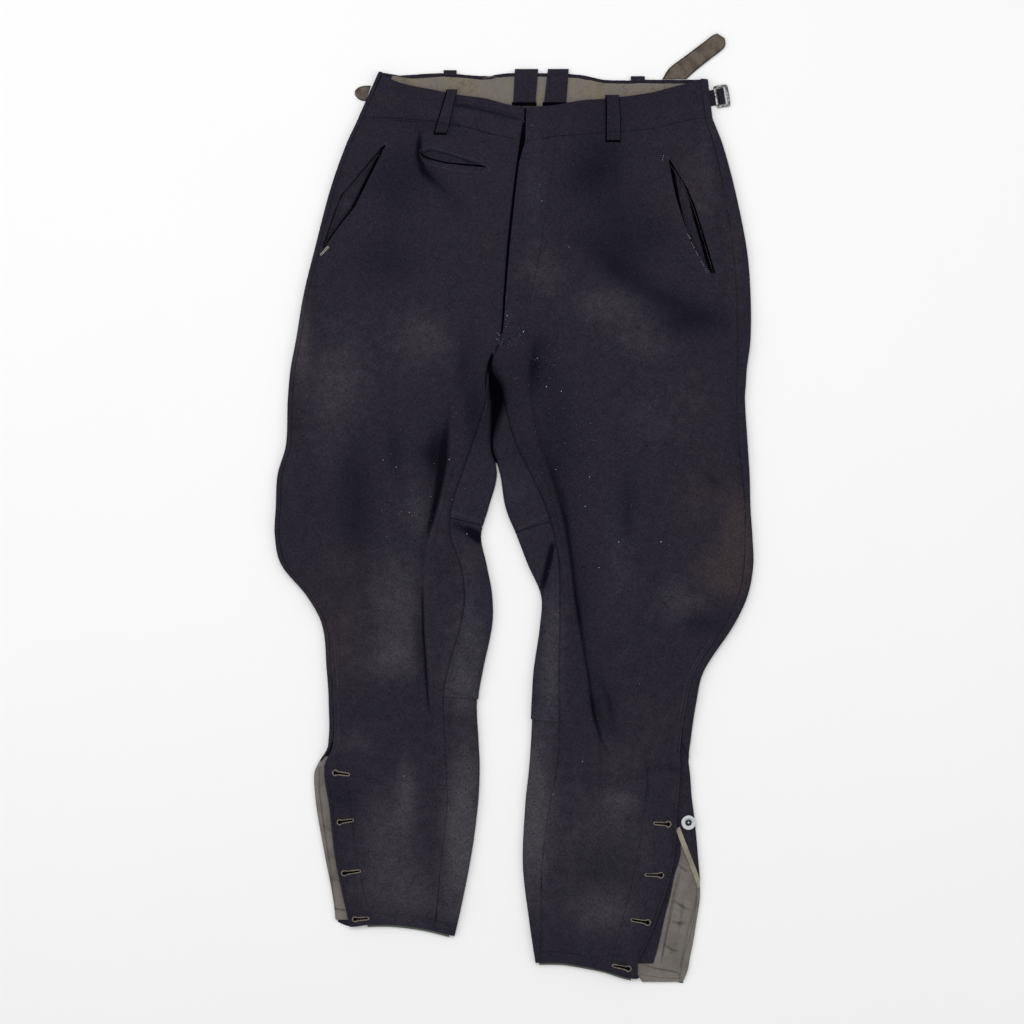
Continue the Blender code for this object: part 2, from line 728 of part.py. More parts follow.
def make_button(base, material):
    """A turned button with a raised rim and four thread holes."""
    mesh = bpy.data.meshes.new("button")
    points = [(x * MM, 0.0, z * MM) for x, z in BUTTON_PROFILE]
    mesh.from_pydata(points, [(k, k + 1) for k in range(len(points) - 1)], [])
    obj = add_object("button", mesh, material)
    obj.location = place(BUTTON_ACROSS, BUTTON_DOWN, base)
    screw = obj.modifiers.new("turned", "SCREW")
    screw.steps = 16
    screw.render_steps = 16
    screw.use_merge_vertices = True
    screw.merge_threshold = 0.00001
    for number in range(4):
        angle = math.radians(45 + 90 * number)
        bpy.ops.mesh.primitive_cylinder_add(
            vertices=6, radius=BUTTON_HOLE * MM, depth=BUTTON_HOLE_DEPTH * MM
        )
        hole = bpy.context.active_object
        hole.name = f"button_hole_{number}"
        offset = Vector((math.cos(angle), math.sin(angle), 0.0)) * BUTTON_HOLE_OFFSET * MM
        hole.location = obj.location + offset
        hole.hide_render = True
        hole.display_type = "WIRE"
        for group in list(hole.users_collection):
            group.objects.unlink(hole)
        cutters.objects.link(hole)
        cut = obj.modifiers.new(f"hole_{number}", "BOOLEAN")
        cut.operation = "DIFFERENCE"
        cut.solver = "EXACT"
        cut.object = hole


def rounded_rectangle(left, right, half_length, radius):
    """Points round a rectangle with rounded corners, from its right-hand upper corner."""
    points = []
    for quarter, (side, end) in enumerate(((1, 1), (-1, 1), (-1, -1), (1, -1))):
        centre_x = (right if side > 0 else left) - side * radius
        centre_y = end * (half_length - radius)
        for step in range(4):
            angle = math.pi / 2 * (quarter + step / 3)
            points.append((centre_x + radius * math.cos(angle), centre_y + radius * math.sin(angle)))
    return points


def make_buckle(wool, steel):
    """The frame and its centre bar, which turns in the loop of the stay."""
    axis_height = STAY_WALL / 2 + STAY_RADIUS
    holder = bpy.data.objects.new("buckle_axis", None)
    holder.location = place(BUCKLE_ACROSS, BUCKLE_DOWN, axis_height)
    holder.rotation_euler = (0.0, 0.0, BUCKLE_LEAN)
    collection.objects.link(holder)

    curve = bpy.data.curves.new("buckle", "CURVE")
    curve.dimensions = "2D"
    curve.fill_mode = "BOTH"
    curve.extrude = BUCKLE_PLATE / 2 * MM
    half = BUCKLE_LENGTH / 2
    outlines = [
        rounded_rectangle(BUCKLE_LEFT, BUCKLE_RIGHT, half, BUCKLE_CORNER),
        rounded_rectangle(
            BUCKLE_LEFT + BUCKLE_LEFT_BAR,
            BUCKLE_RIGHT - BUCKLE_RIGHT_BAR,
            half - BUCKLE_END_BAR,
            BUCKLE_INNER_CORNER,
        ),
    ]
    for outline in outlines:
        spline = curve.splines.new("POLY")
        spline.points.add(len(outline) - 1)
        for point, (x, y) in zip(spline.points, outline):
            point.co = (x * MM, y * MM, 0.0, 1.0)
        spline.use_cyclic_u = True
    flat = bpy.data.objects.new("buckle_outline", curve)
    collection.objects.link(flat)
    evaluated = flat.evaluated_get(bpy.context.evaluated_depsgraph_get())
    mesh = bpy.data.meshes.new_from_object(evaluated)
    bpy.data.objects.remove(flat, do_unlink=True)
    welded = bmesh.new()
    welded.from_mesh(mesh)
    bmesh.ops.remove_doubles(welded, verts=welded.verts[:], dist=0.00001)
    welded.to_mesh(mesh)
    welded.free()
    mesh.name = "buckle"
    frame = add_object("buckle", mesh, steel)
    frame.parent = holder

    pin_mesh = bpy.data.meshes.new("buckle_pin")
    pin = bmesh.new()
    bmesh.ops.create_cone(
        pin,
        cap_ends=True,
        segments=10,
        radius1=PIN_RADIUS * MM,
        radius2=PIN_RADIUS * MM,
        depth=(BUCKLE_LENGTH - BUCKLE_END_BAR) * MM,
        matrix=Matrix.Rotation(math.pi / 2, 4, "X"),
    )
    pin.to_mesh(pin_mesh)
    pin.free()
    pin_object = add_object("buckle_pin", pin_mesh, steel, cutters)
    pin_object.parent = holder
    pin_object.hide_render = True
    pin_object.display_type = "WIRE"
    join = frame.modifiers.new("centre_bar", "BOOLEAN")
    join.operation = "UNION"
    join.solver = "EXACT"
    join.object = pin_object

    low = -STAY_RADIUS
    profile = [(STAY_REACH, low), (STAY_REACH / 2, low), (0.0, low)]
    for step in range(1, 8):
        angle = math.radians(-90 + step * STAY_TURN)
        profile.append((STAY_RADIUS * math.cos(angle), STAY_RADIUS * math.sin(angle)))
    profile += STAY_END
    stay_mesh = bpy.data.meshes.new("buckle_stay")
    half = STAY_WIDTH / 2 * MM
    points = [(x * MM, y, z * MM) for x, z in profile for y in (-half, half)]
    faces = [(2 * k, 2 * k + 2, 2 * k + 3, 2 * k + 1) for k in range(len(profile) - 1)]
    stay_mesh.from_pydata(points, [], faces)
    stay = add_object("buckle_stay", stay_mesh, wool)
    stay.parent = holder
    solidify = stay.modifiers.new("thickness", "SOLIDIFY")
    solidify.thickness = STAY_WALL * MM
    solidify.offset = 0.0
    solidify.use_even_offset = True


def main():
    clear_scene()
    wool = make_material("navy_wool", (0.022, 0.020, 0.030), 0.9)
    worn = make_material("worn_navy_wool", (0.035, 0.030, 0.036), 0.95)
    lining = make_material("grey_lining", (0.19, 0.17, 0.13), 0.9)
    strap = make_material("olive_brown_strap", (0.11, 0.09, 0.065), 0.85)
    steel = make_material("dark_steel", (0.10, 0.09, 0.09), 0.4, 1.0)
    shell = make_material("pale_button", (0.72, 0.74, 0.74), 0.3)
    right = Leg("right", RIGHT_LEG, RIGHT_HEM, -1)
    left = Leg("left", LEFT_LEG, LEFT_HEM, 1)
    legs = (right, left)
    make_legs(legs, wool, worn)
    make_waist(legs, wool, lining, strap)
    make_pocket("hip_facing_right", right, HIP_RIGHT, wool)
    make_pocket("hip_facing_left", left, HIP_LEFT, wool)
    make_pocket("watch_facing", right, WATCH, wool)
    make_plackets(legs, wool, lining, shell)
    make_buckle(wool, steel)


main()
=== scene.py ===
"""Old riding breeches in heavy navy wool, laid flat with the front up and seen from straight above.

+Y is up the garment to its waist, +X is the wearer's left, and the cloth lies on Z = 0. Places are
given as a tailor takes them, in millimetres: across from the middle and down from the waist.
"""
import math
import random

import bmesh
import bpy
import numpy as np
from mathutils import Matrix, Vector, noise
from mathutils.bvhtree import BVHTree


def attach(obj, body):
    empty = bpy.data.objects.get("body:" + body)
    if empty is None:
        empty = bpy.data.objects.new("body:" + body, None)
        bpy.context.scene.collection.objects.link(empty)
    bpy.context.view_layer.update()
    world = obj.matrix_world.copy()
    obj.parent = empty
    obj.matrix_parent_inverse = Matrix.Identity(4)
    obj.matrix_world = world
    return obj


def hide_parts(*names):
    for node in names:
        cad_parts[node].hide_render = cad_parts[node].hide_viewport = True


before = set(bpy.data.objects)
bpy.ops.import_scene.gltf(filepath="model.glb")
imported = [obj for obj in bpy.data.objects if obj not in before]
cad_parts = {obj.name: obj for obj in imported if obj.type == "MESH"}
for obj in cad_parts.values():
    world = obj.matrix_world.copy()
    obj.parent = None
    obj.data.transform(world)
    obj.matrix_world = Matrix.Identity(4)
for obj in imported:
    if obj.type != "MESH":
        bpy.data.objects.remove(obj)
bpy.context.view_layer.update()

# The two backs
# Each back is one panel of heavy navy wool. It lies on the floor from the outer to the inner edge of
# its leg, rolls up round both edges, and comes on to the top as far as the side and inner seams.

MM = 0.001
WAIST_Y = 470.0
WOOL = 1.8
SEAM = 0.3
LEG_COLUMNS = ("down", "outer", "side", "press", "crease", "edge", "inner", "top", "fold", "roll")
RIGHT_LEG = [
    (50, -168, -163, -140, -80, 25, 6, 6.5, 0.0, 6.0),
    (78, -181, -176, -146, -79, 22, 4, 6.5, 0.3, 6.0),
    (126, -198, -193, -150, -77, 17, 0, 6.5, 0.5, 6.0),
    (191, -215, -210, -152, -75, 9, -6, 6.5, 0.6, 6.0),
    (240, -227, -222, -153, -72, 4, -12, 6.6, 0.8, 6.0),
    (288, -235, -230, -154, -69, -14.2, -19, 6.7, 1.0, 6.0),
    (320, -241, -236, -154, -68, -27.2, -26.5, 6.7, 1.2, 6.0),
    (353, -244, -239, -154, -68, -30, -25.6, 6.8, 2.0, 5.8),
    (402, -246, -241, -154, -69, -45, -25.6, 6.8, 3.4, 5.8),
    (434, -255, -250, -155, -73, -56, -20, 6.8, 4.4, 5.8),
    (470, -257, -252, -156, -82, -67, -29, 6.7, 5.0, 5.8),
    (500, -258, -253, -156, -90, -68, -37, 6.6, 4.6, 5.8),
    (531, -251, -246, -154, -96, -57, -31, 6.5, 3.8, 5.8),
    (564, -224, -219, -146, -97, -53, -25, 6.4, 4.2, 5.8),
    (596, -207, -202, -138, -96, -57, -25, 6.4, 4.2, 5.8),
    (645, -202, -197, -132, -92, -71, -35, 6.4, 4.0, 5.8),
    (677, -200, -195, -132, -91, -76, -40, 6.4, 3.0, 5.8),
    (726, -201, -196, -138, -95, -74, -38, 6.3, 1.6, 5.8),
    (750, -214, -205, -145, -97, -73, -37, 6.3, 1.3, 5.8),
    (791, -213, -200, -146, -101, -72, -39, 6.2, 1.0, 5.8),
    (855, -202, -192, -145, -110, -79, -48, 6.1, 0.6, 5.8),
    (920, -192, -178, -142, -117, -85, -64, 6.0, 0.2, 5.8),
]
LEFT_LEG = [
    (50, 214, 206, 150, 50, 12, 6, 6.5, 0.0, 6.0),
    (78, 225, 215, 152, 46, 8, 4, 6.5, 0.3, 6.0),
    (126, 238, 226, 155, 40, 2, 0, 6.5, 0.5, 6.0),
    (191, 251, 236, 150, 33, -5, -6, 6.5, 0.6, 6.0),
    (240, 255, 240, 140, 26, -9, -12, 6.6, 0.8, 6.0),
    (288, 255, 241, 125, 20, -13.8, -19, 6.7, 1.0, 6.0),
    (320, 251, 241, 116, 17, -26.8, -26, 6.7, 1.4, 5.0),
    (336, 250, 240.5, 113, 17, -16.5, -24, 6.8, 1.8, 5.4),
    (353, 249, 240, 110, 17, -12, -22, 6.8, 2.2, 5.2),
    (402, 252, 242, 106, 27, 2, -22, 6.8, 4.0, 4.8),
    (434, 254, 246, 105, 38, 18, -13.5, 6.8, 4.8, 5.0),
    (470, 255, 249, 104, 48, 34, -7.5, 6.7, 5.0, 5.8),
    (500, 257, 249, 104, 56, 43, 4.5, 6.6, 5.0, 5.8),
    (531, 258, 248, 106, 61, 48, 16.5, 6.5, 5.0, 5.8),
    (564, 252, 242, 108, 64, 49, 30.5, 6.4, 5.0, 5.8),
    (596, 237, 227, 112, 68, 49, 29.5, 6.4, 4.6, 5.8),
    (645, 205, 196, 120, 76, 48, 22.5, 6.4, 4.2, 5.8),
    (677, 197, 187, 125, 80, 48, 20.5, 6.5, 4.0, 5.8),
    (726, 190, 180, 132, 92, 48, 18, 6.6, 2.6, 5.8),
    (752, 190, 180, 134, 93, 46, 16, 6.7, 2.0, 5.8),
    (791, 192, 177, 135, 92, 38, 12, 6.8, 1.5, 5.8),
    (855, 199, 172, 130, 90, 30, 9.5, 6.8, 1.0, 5.8),
    (920, 193, 152, 118, 86, 29, 17, 6.8, 0.5, 5.8),
    (960, 184, 134, 110, 82, 28, 23, 6.8, 0.2, 5.8),
]
HEM_COLUMNS = ("across", "down")
RIGHT_HEM = [(-193, 915), (-178, 921), (-156, 919), (-132, 919), (-99, 923), (-66, 931)]
LEFT_HEM = [(16, 960), (50, 960), (71, 963), (96, 968), (127, 977), (149, 976), (184, 983)]
HEM_FADE = 70.0
WAIST_SEAM = 50.0
CROTCH = (304.0, 344.0)          # the inner edges roll up between these
PLACKET_TOP = (720.0, 752.0)     # and the outer edges open out flat between these
FLAT_RUN = 34.0
UNROLLED_INSET = 2.0
SHORTEST_RETURN = 1.3
ROW_STEP = 3.6
TURNING_STEP = 2.0

# Soft creases: height in mm, half width in mm, and the line they follow with its strength
CREASES_RIGHT = [
    (-1.8, 7, [
        (-102, 69, 0.6), (-102, 92, 1), (-94, 109, 1), (-78, 123, 0.8), (-60, 143, 0.5), (-39, 175, 0.2),
    ]),
    (0.9, 9, [(-86, 107, 0.5), (-67, 126, 0.9), (-48, 152, 0.5)]),
    (-0.6, 6, [(-37, 161, 0.4), (-36, 186, 1), (-32, 218, 0.4)]),
    (0.9, 5, [(-153, 386, 0.3), (-154, 440, 1), (-156, 483, 1), (-154, 526, 0.4)]),
    (-1.0, 6, [(-162, 396, 0.4), (-163, 450, 1), (-164, 504, 0.6)]),
    (-1.6, 15, [(-76, 340, 0.5), (-82, 386, 1), (-92, 427, 1), (-102, 461, 0.5)]),
    (1.6, 11, [(-91, 429, 0.6), (-98, 472, 1), (-93, 510, 0.6)]),
    (-1.8, 9, [(-43, 273, 0.4), (-51, 299, 0.9), (-59, 329, 1), (-66, 359, 0.6)]),
    (1.0, 9, [(-32, 310, 0.5), (-43, 348, 1), (-54, 396, 0.7)]),
    (-1.2, 12, [(-108, 558, 0.5), (-105, 602, 0.9), (-102, 645, 0.9), (-97, 677, 0.4)]),
    (-1.0, 3, [(-192, 690, 0.5), (-175, 692, 1), (-153, 694, 0.7), (-132, 698, 0.3)]),
    (1.3, 4, [(-235, 522, 0.3), (-226, 537, 1), (-217, 563, 1), (-210, 593, 0.4)]),
    (-1.2, 8, [(-114, 712, 0.6), (-105, 706, 1), (-93, 701, 0.5)]),
    (-1.2, 12, [(-199, 197, 0.3), (-183, 245, 0.8), (-175, 299, 0.5)]),
    (1.2, 18, [(-123, 245, 0.4), (-102, 289, 1), (-89, 342, 0.4)]),
    (-1.0, 14, [(-231, 440, 0.4), (-218, 483, 1), (-197, 522, 0.5)]),
    (1.0, 14, [(-153, 612, 0.4), (-131, 636, 1), (-121, 677, 0.4)]),
    (-1.0, 10, [(-177, 807, 0.4), (-153, 839, 1), (-127, 863, 0.4)]),
    (-1.5, 14, [(-128, 372, 0.3), (-129, 402, 1), (-127, 440, 0.5)]),
    (-0.9, 16, [(-118, 425, 0.3), (-103, 412, 1), (-90, 407, 0.5)]),
    (1.2, 14, [(-109, 437, 0.5), (-104, 470, 1), (-106, 498, 0.4)]),
    (1.3, 3.5, [(-93, 519, 0.4), (-80, 527, 1), (-70, 545, 0.7), (-66, 570, 0.4)]),
    (1.0, 24, [(-126, 652, 0.4), (-114, 668, 1), (-105, 676, 0.4)]),
    (-1.3, 5, [(-76, 667, 0.5), (-62, 672, 1), (-48, 674, 0.6)]),
    (0.9, 9, [(-113, 742, 0.4), (-116, 780, 1), (-123, 818, 0.4)]),
]
CREASES_LEFT = [
    (-1.9, 14, [(78, 187, 0.3), (109, 213, 0.8), (148, 240, 1), (190, 256, 0.8), (220, 265, 0.4)]),
    (1.4, 17, [(45, 241, 0.4), (97, 249, 0.9), (136, 275, 1), (171, 297, 0.4)]),
    (-1.6, 6, [(37, 269, 0.4), (29, 294, 1), (24, 315, 0.6), (21, 340, 0.3)]),
    (-1.7, 8, [(203, 431, 0.7), (214, 440, 1), (226, 447, 0.5)]),
    (-1.0, 7, [(194, 396, 0.4), (188, 414, 1), (190, 429, 0.4)]),
    (1.8, 15, [(171, 558, 0.6), (179, 573, 1), (184, 586, 0.5)]),
    (-1.6, 8, [(158, 606, 0.5), (194, 598, 1), (216, 580, 0.5)]),
    (-1.1, 6, [(162, 532, 0.8), (152, 550, 1), (144, 567, 0.5)]),
    (-1.0, 6, [(187, 541, 0.5), (191, 528, 1), (205, 522, 0.5)]),
    (0.8, 4.5, [(102, 353, 0.3), (105, 396, 1), (106, 483, 1), (107, 569, 1), (108, 612, 0.4)]),
    (-1.1, 6, [(122, 446, 0.4), (124, 461, 1), (123, 478, 0.8), (118, 504, 0.3)]),
    (-2.2, 8, [(84, 638, 0.4), (92, 666, 0.9), (99, 690, 1), (103, 707, 0.6)]),
    (1.1, 4, [(97, 656, 0.4), (107, 679, 1), (112, 703, 1), (113, 725, 0.3)]),
    (-0.9, 4, [(152, 621, 0.4), (147, 647, 1), (146, 674, 0.4)]),
    (-1.0, 2.5, [(158, 751, 0.8), (168, 751, 1), (183, 751, 0.7)]),
    (-0.5, 2, [(144, 753, 0.8), (144, 774, 1), (143, 798, 0.4)]),
    (-1.0, 2.5, [(81, 703, 0.5), (86, 714, 1), (95, 725, 0.4)]),
    (-1.2, 12, [(117, 278, 0.4), (136, 332, 0.9), (143, 386, 0.5)]),
    (1.2, 16, [(136, 348, 0.5), (153, 375, 1), (162, 413, 0.5)]),
    (-1.2, 12, [(50, 764, 0.3), (71, 785, 1), (106, 798, 0.4)]),
    (1.0, 12, [(104, 764, 0.5), (117, 785, 1), (125, 818, 0.4)]),
    (-1.0, 12, [(82, 850, 0.5), (93, 872, 1), (127, 885, 0.4)]),
    (-1.0, 9, [(201, 148, 0.4), (210, 191, 1), (214, 234, 0.4)]),
    (1.0, 10, [(50, 137, 0.4), (56, 180, 1), (56, 224, 0.3)]),
    (-1.4, 5, [(33, 513, 0.5), (36, 542, 1), (30, 561, 0.5)]),
    (1.0, 20, [(58, 210, 0.3), (70, 235, 0.8), (98, 252, 0.5)]),
    (-0.7, 22, [(95, 92, 0.5), (72, 112, 1), (52, 136, 0.6)]),
]
# The same on the underside, where the cloth can only lift off the floor
CREASES_UNDER = [
    (1.2, 8, [(-150, 300, 0.4), (-120, 330, 1), (-80, 345, 0.6)]),
    (1.0, 7, [(-200, 520, 0.4), (-170, 560, 1), (-120, 575, 0.5)]),
    (1.3, 6, [(-175, 590, 0.4), (-150, 610, 1), (-100, 612, 0.5)]),
    (0.9, 9, [(-140, 760, 0.4), (-135, 810, 1), (-138, 860, 0.4)]),
    (1.0, 10, [(-90, 90, 0.4), (-80, 140, 1), (-85, 190, 0.4)]),
    (1.2, 8, [(60, 330, 0.5), (110, 350, 1), (170, 345, 0.4)]),
    (1.1, 7, [(90, 560, 0.4), (140, 580, 1), (200, 562, 0.5)]),
    (1.3, 6, [(80, 605, 0.4), (120, 622, 1), (170, 610, 0.4)]),
    (0.9, 9, [(110, 770, 0.4), (105, 820, 1), (112, 880, 0.4)]),
    (1.0, 10, [(120, 110, 0.4), (130, 160, 1), (122, 215, 0.4)]),
    (0.8, 5, [(10, 100, 0.4), (5, 180, 1), (-6, 240, 0.4)]),
]


def blend(a, b, share):
    return a + (b - a) * share


def ease(value, start, end):
    share = np.clip((value - start) / (end - start), 0.0, 1.0)
    return share * share * (3.0 - 2.0 * share)


def read_table(table, columns, at, wanted):
    """A column of a table at any value of its first column, on a smooth curve through the rows."""
    column = columns.index(wanted)
    if at <= table[0][0]:
        return float(table[0][column])
    if at >= table[-1][0]:
        return float(table[-1][column])
    index = next(i for i in range(len(table) - 1) if at <= table[i + 1][0])

    def slope(row):
        low = max(row - 1, 0)
        high = min(row + 1, len(table) - 1)
        return (table[high][column] - table[low][column]) / (table[high][0] - table[low][0])

    start, end = table[index], table[index + 1]
    span = end[0] - start[0]
    t = (at - start[0]) / span
    return (
        (2 * t**3 - 3 * t**2 + 1) * start[column]
        + (t**3 - 2 * t**2 + t) * span * slope(index)
        + (3 * t**2 - 2 * t**3) * end[column]
        + (t**3 - t**2) * span * slope(index + 1)
    )


class Leg:
    """One leg's tables, and the sections across it that they give."""

    def __init__(self, name, table, hem, creases, sign):
        self.name = name
        self.table = table
        self.hem = hem
        self.creases = creases
        self.sign = sign
        turning = (CROTCH[0] - 6, CROTCH[1] + 6, PLACKET_TOP[0] - 6, PLACKET_TOP[1] + 6)
        ends = [WAIST_SEAM, *turning, table[-1][0]]
        self.stations = [WAIST_SEAM]
        for number, (low, high) in enumerate(zip(ends, ends[1:])):
            steps = math.ceil((high - low) / (TURNING_STEP if number % 2 else ROW_STEP))
            self.stations += [blend(low, high, (k + 1) / steps) for k in range(steps)]

    def at(self, down, wanted):
        return read_table(self.table, LEG_COLUMNS, down, wanted)

    def hem_shift(self, across, down):
        last = self.table[-1][0]
        share = ease(down, last - HEM_FADE, last)
        return share * (read_table(self.hem, HEM_COLUMNS, across, "down") - last)

    def inner_wrap(self, down):
        return min(max((down - CROTCH[0]) / (CROTCH[1] - CROTCH[0]), 0.0), 1.0)

    def outer_wrap(self, down):
        return 1.0 - min(max((down - PLACKET_TOP[0]) / (PLACKET_TOP[1] - PLACKET_TOP[0]), 0.0), 1.0)

    def roll_centre(self, outline, height, way):
        return outline - way * (WOOL / 2 + (height - WOOL / 2) / 2)

    def seam_past_roll(self, outline, seam, height, way):
        """A seam's place across, kept past the roll that it ends."""
        centre = self.roll_centre(outline, height, way)
        return centre - way * max(SHORTEST_RETURN, way * (centre - seam))

    def side_seam(self, down):
        seam = self.at(down, "side")
        held = self.seam_past_roll(self.at(down, "outer"), seam, self.at(down, "top"), self.sign)
        return blend(seam, held, self.outer_wrap(down))

    def inner_seam(self, down):
        seam = self.at(down, "edge")
        held = self.seam_past_roll(self.at(down, "inner"), seam, self.at(down, "roll"), -self.sign)
        return blend(seam, held, self.inner_wrap(down))

    def seam_height(self, down):
        return self.at(down, "top") + 0.4 * self.at(down, "fold") * self.inner_wrap(down)

    def end_points(self, flat_end, outline, seam, height, seam_height, way, share, returns):
        """An end of a back's section, from its free edge inwards, rolled up by a share of a turn."""
        low = WOOL / 2
        radius = (height - low) / 2
        run = way * (self.roll_centre(outline, height, way) - seam) - SEAM / 2
        arc = math.pi * radius
        turn = math.pi * share
        spare = (run + arc) * share - turn * radius
        reach = radius if turn > math.pi / 2 else radius * math.sin(turn) + spare * math.cos(turn)
        half_wall = WOOL / 2 * math.sin(min(turn, math.pi / 2))
        tangent = blend(flat_end, outline, share) - way * (half_wall + reach)
        rise = share**4 * (seam_height - height)
        rolled = [run * k / returns for k in range(returns)] + [run + arc * k / 10 for k in range(11)]
        points = []
        for index, distance in enumerate(rolled):
            back = (run + arc) * share - blend(FLAT_RUN * index / (len(rolled) - 1), distance, share)
            angle = min(max(back, 0.0) / radius, turn)
            rest = back - angle * radius
            x = tangent + way * (radius * math.sin(angle) + rest * math.cos(angle))
            z = low + radius * (1.0 - math.cos(angle)) + max(rest, 0.0) * math.sin(angle)
            points.append((x, z + rise * (1.0 - ease(distance / max(run, 0.1), 0.35, 1.0))))
        return points

    def inner_end(self, down):
        s = self.sign
        inner = self.at(down, "inner")
        roll = self.at(down, "roll")
        seam = self.seam_past_roll(inner, self.at(down, "edge"), roll, -s)
        height = self.seam_height(down)
        return self.end_points(inner + s * SEAM / 2, inner, seam, roll, height, -s, self.inner_wrap(down), 14)

    def outer_end(self, down):
        s = self.sign
        outer = self.at(down, "outer")
        top = self.at(down, "top")
        seam = self.seam_past_roll(outer, self.at(down, "side"), top, s)
        flat = outer - s * UNROLLED_INSET
        return self.end_points(flat, outer, seam, top, top, s, self.outer_wrap(down), 6)[::-1]

    def back_section(self, down):
        inner = self.inner_end(down)
        outer = self.outer_end(down)
        flat = [(blend(inner[-1][0], outer[0][0], k / 56), WOOL / 2) for k in range(1, 56)]
        return inner + flat + outer


def crease_heights(across, down, creases):
    """The heights that a list of creases adds at arrays of places."""
    total = np.zeros_like(across)
    for height, width, line in creases:
        nearest = np.full_like(across, 1e9)
        strength = np.zeros_like(across)
        for (x0, d0, s0), (x1, d1, s1) in zip(line, line[1:]):
            reach = (across - x0) * (x1 - x0) + (down - d0) * (d1 - d0)
            along = np.clip(reach / ((x1 - x0) ** 2 + (d1 - d0) ** 2), 0, 1)
            gap = np.hypot(across - blend(x0, x1, along), down - blend(d0, d1, along))
            closer = gap < nearest
            nearest = np.where(closer, gap, nearest)
            strength = np.where(closer, blend(s0, s1, along), strength)
        total += height * strength * np.exp(-((nearest / width) ** 2))
    return total


def slack(across, down, size, seed):
    """A gentle unevenness, as of cloth that has hung and been worn, from -1 to 1."""
    values = [
        noise.noise(Vector((x / size, d / size, seed))) for x, d in zip(across.ravel(), down.ravel())
    ]
    return np.array(values).reshape(across.shape)


def top_relief(leg, across, down):
    """How far the upper layer's creases and slackness lift it at arrays of places."""
    lift = crease_heights(across, down, leg.creases)
    return 1.8 * lift + 1.3 * slack(across, down, 55.0, 3.1) + 0.45 * slack(across, down, 17.0, 8.4)


def place(name, mesh):
    """Put a mesh in the scene as an object."""
    obj = bpy.data.objects.new(name, mesh)
    bpy.context.scene.collection.objects.link(obj)
    return obj


def settle(obj):
    """Make an object's modifiers part of its mesh."""
    graph = bpy.context.evaluated_depsgraph_get()
    mesh = bpy.data.meshes.new_from_object(obj.evaluated_get(graph))
    obj.modifiers.clear()
    old = obj.data
    obj.data = mesh
    bpy.data.meshes.remove(old)


def smooth(obj, angle=40):
    obj.data.shade_smooth()
    obj.data.set_sharp_from_angle(angle=math.radians(angle))


def closed_sheet(name, points, faces, cut, thickness, material, rims=None, angle=40):
    """A sheet with both sides and its edges, from its middle surface and its cut laid flat."""
    mesh = bpy.data.meshes.new(name)
    mesh.from_pydata(points, [], faces)
    corners = np.zeros(len(mesh.loops), int)
    mesh.loops.foreach_get("vertex_index", corners)
    mesh.uv_layers.new(name="cut").data.foreach_set("uv", np.asarray(cut)[corners].ravel())
    if rims is not None:
        mesh.attributes.new("rim", "FLOAT", "POINT").data.foreach_set("value", rims.ravel())
    mesh.materials.append(material)
    obj = place(name, mesh)
    wall = obj.modifiers.new("wall", "SOLIDIFY")
    wall.thickness = thickness * MM
    wall.offset = 0.0
    settle(obj)
    smooth(obj, angle)
    return obj


def cloth(name, rows, thickness, material, rims=None):
    """A closed sheet from a grid of points (across, down, height)."""
    rows = np.asarray(rows, float)
    count, width = rows.shape[:2]
    points = np.stack([rows[..., 0], WAIST_Y - rows[..., 1], rows[..., 2]], axis=-1) * MM
    faces = [
        (r * width + c, r * width + c + 1, (r + 1) * width + c + 1, (r + 1) * width + c)
        for r in range(count - 1)
        for c in range(width - 1)
    ]
    steps = np.linalg.norm(np.diff(points, axis=1), axis=2)
    u = np.concatenate([np.zeros((count, 1)), np.cumsum(steps, axis=1)], axis=1)
    u -= u[:, width // 2][:, None]
    falls = np.linalg.norm(np.diff(points, axis=0), axis=2)
    v = np.concatenate([np.zeros((1, width)), np.cumsum(falls, axis=0)], axis=0)
    cut = np.stack([u, -v], axis=-1).reshape(-1, 2)
    return closed_sheet(name, points.reshape(-1, 3).tolist(), faces, cut, thickness, material, rims)


class Tone:
    """A value that varies over a surface. A sum written with it adds the Math nodes that it needs."""

    def __init__(self, dye, socket):
        self.dye = dye
        self.socket = socket

    def sum(self, operation, first, second):
        return self.dye.node("ShaderNodeMath", {"operation": operation}, {0: first, 1: second})

    def __add__(self, other):
        return self.sum("ADD", self, other)

    def __sub__(self, other):
        return self.sum("SUBTRACT", self, other)

    def __rsub__(self, other):
        return self.sum("SUBTRACT", other, self)

    def __mul__(self, other):
        return self.sum("MULTIPLY", self, other)

    def between(self, low, high):
        """0 below low, 1 above high, and a soft step between them."""
        settings = {"interpolation_type": "SMOOTHSTEP"}
        inputs = {"Value": self, "From Min": low, "From Max": high}
        return self.dye.node("ShaderNodeMapRange", settings, inputs)


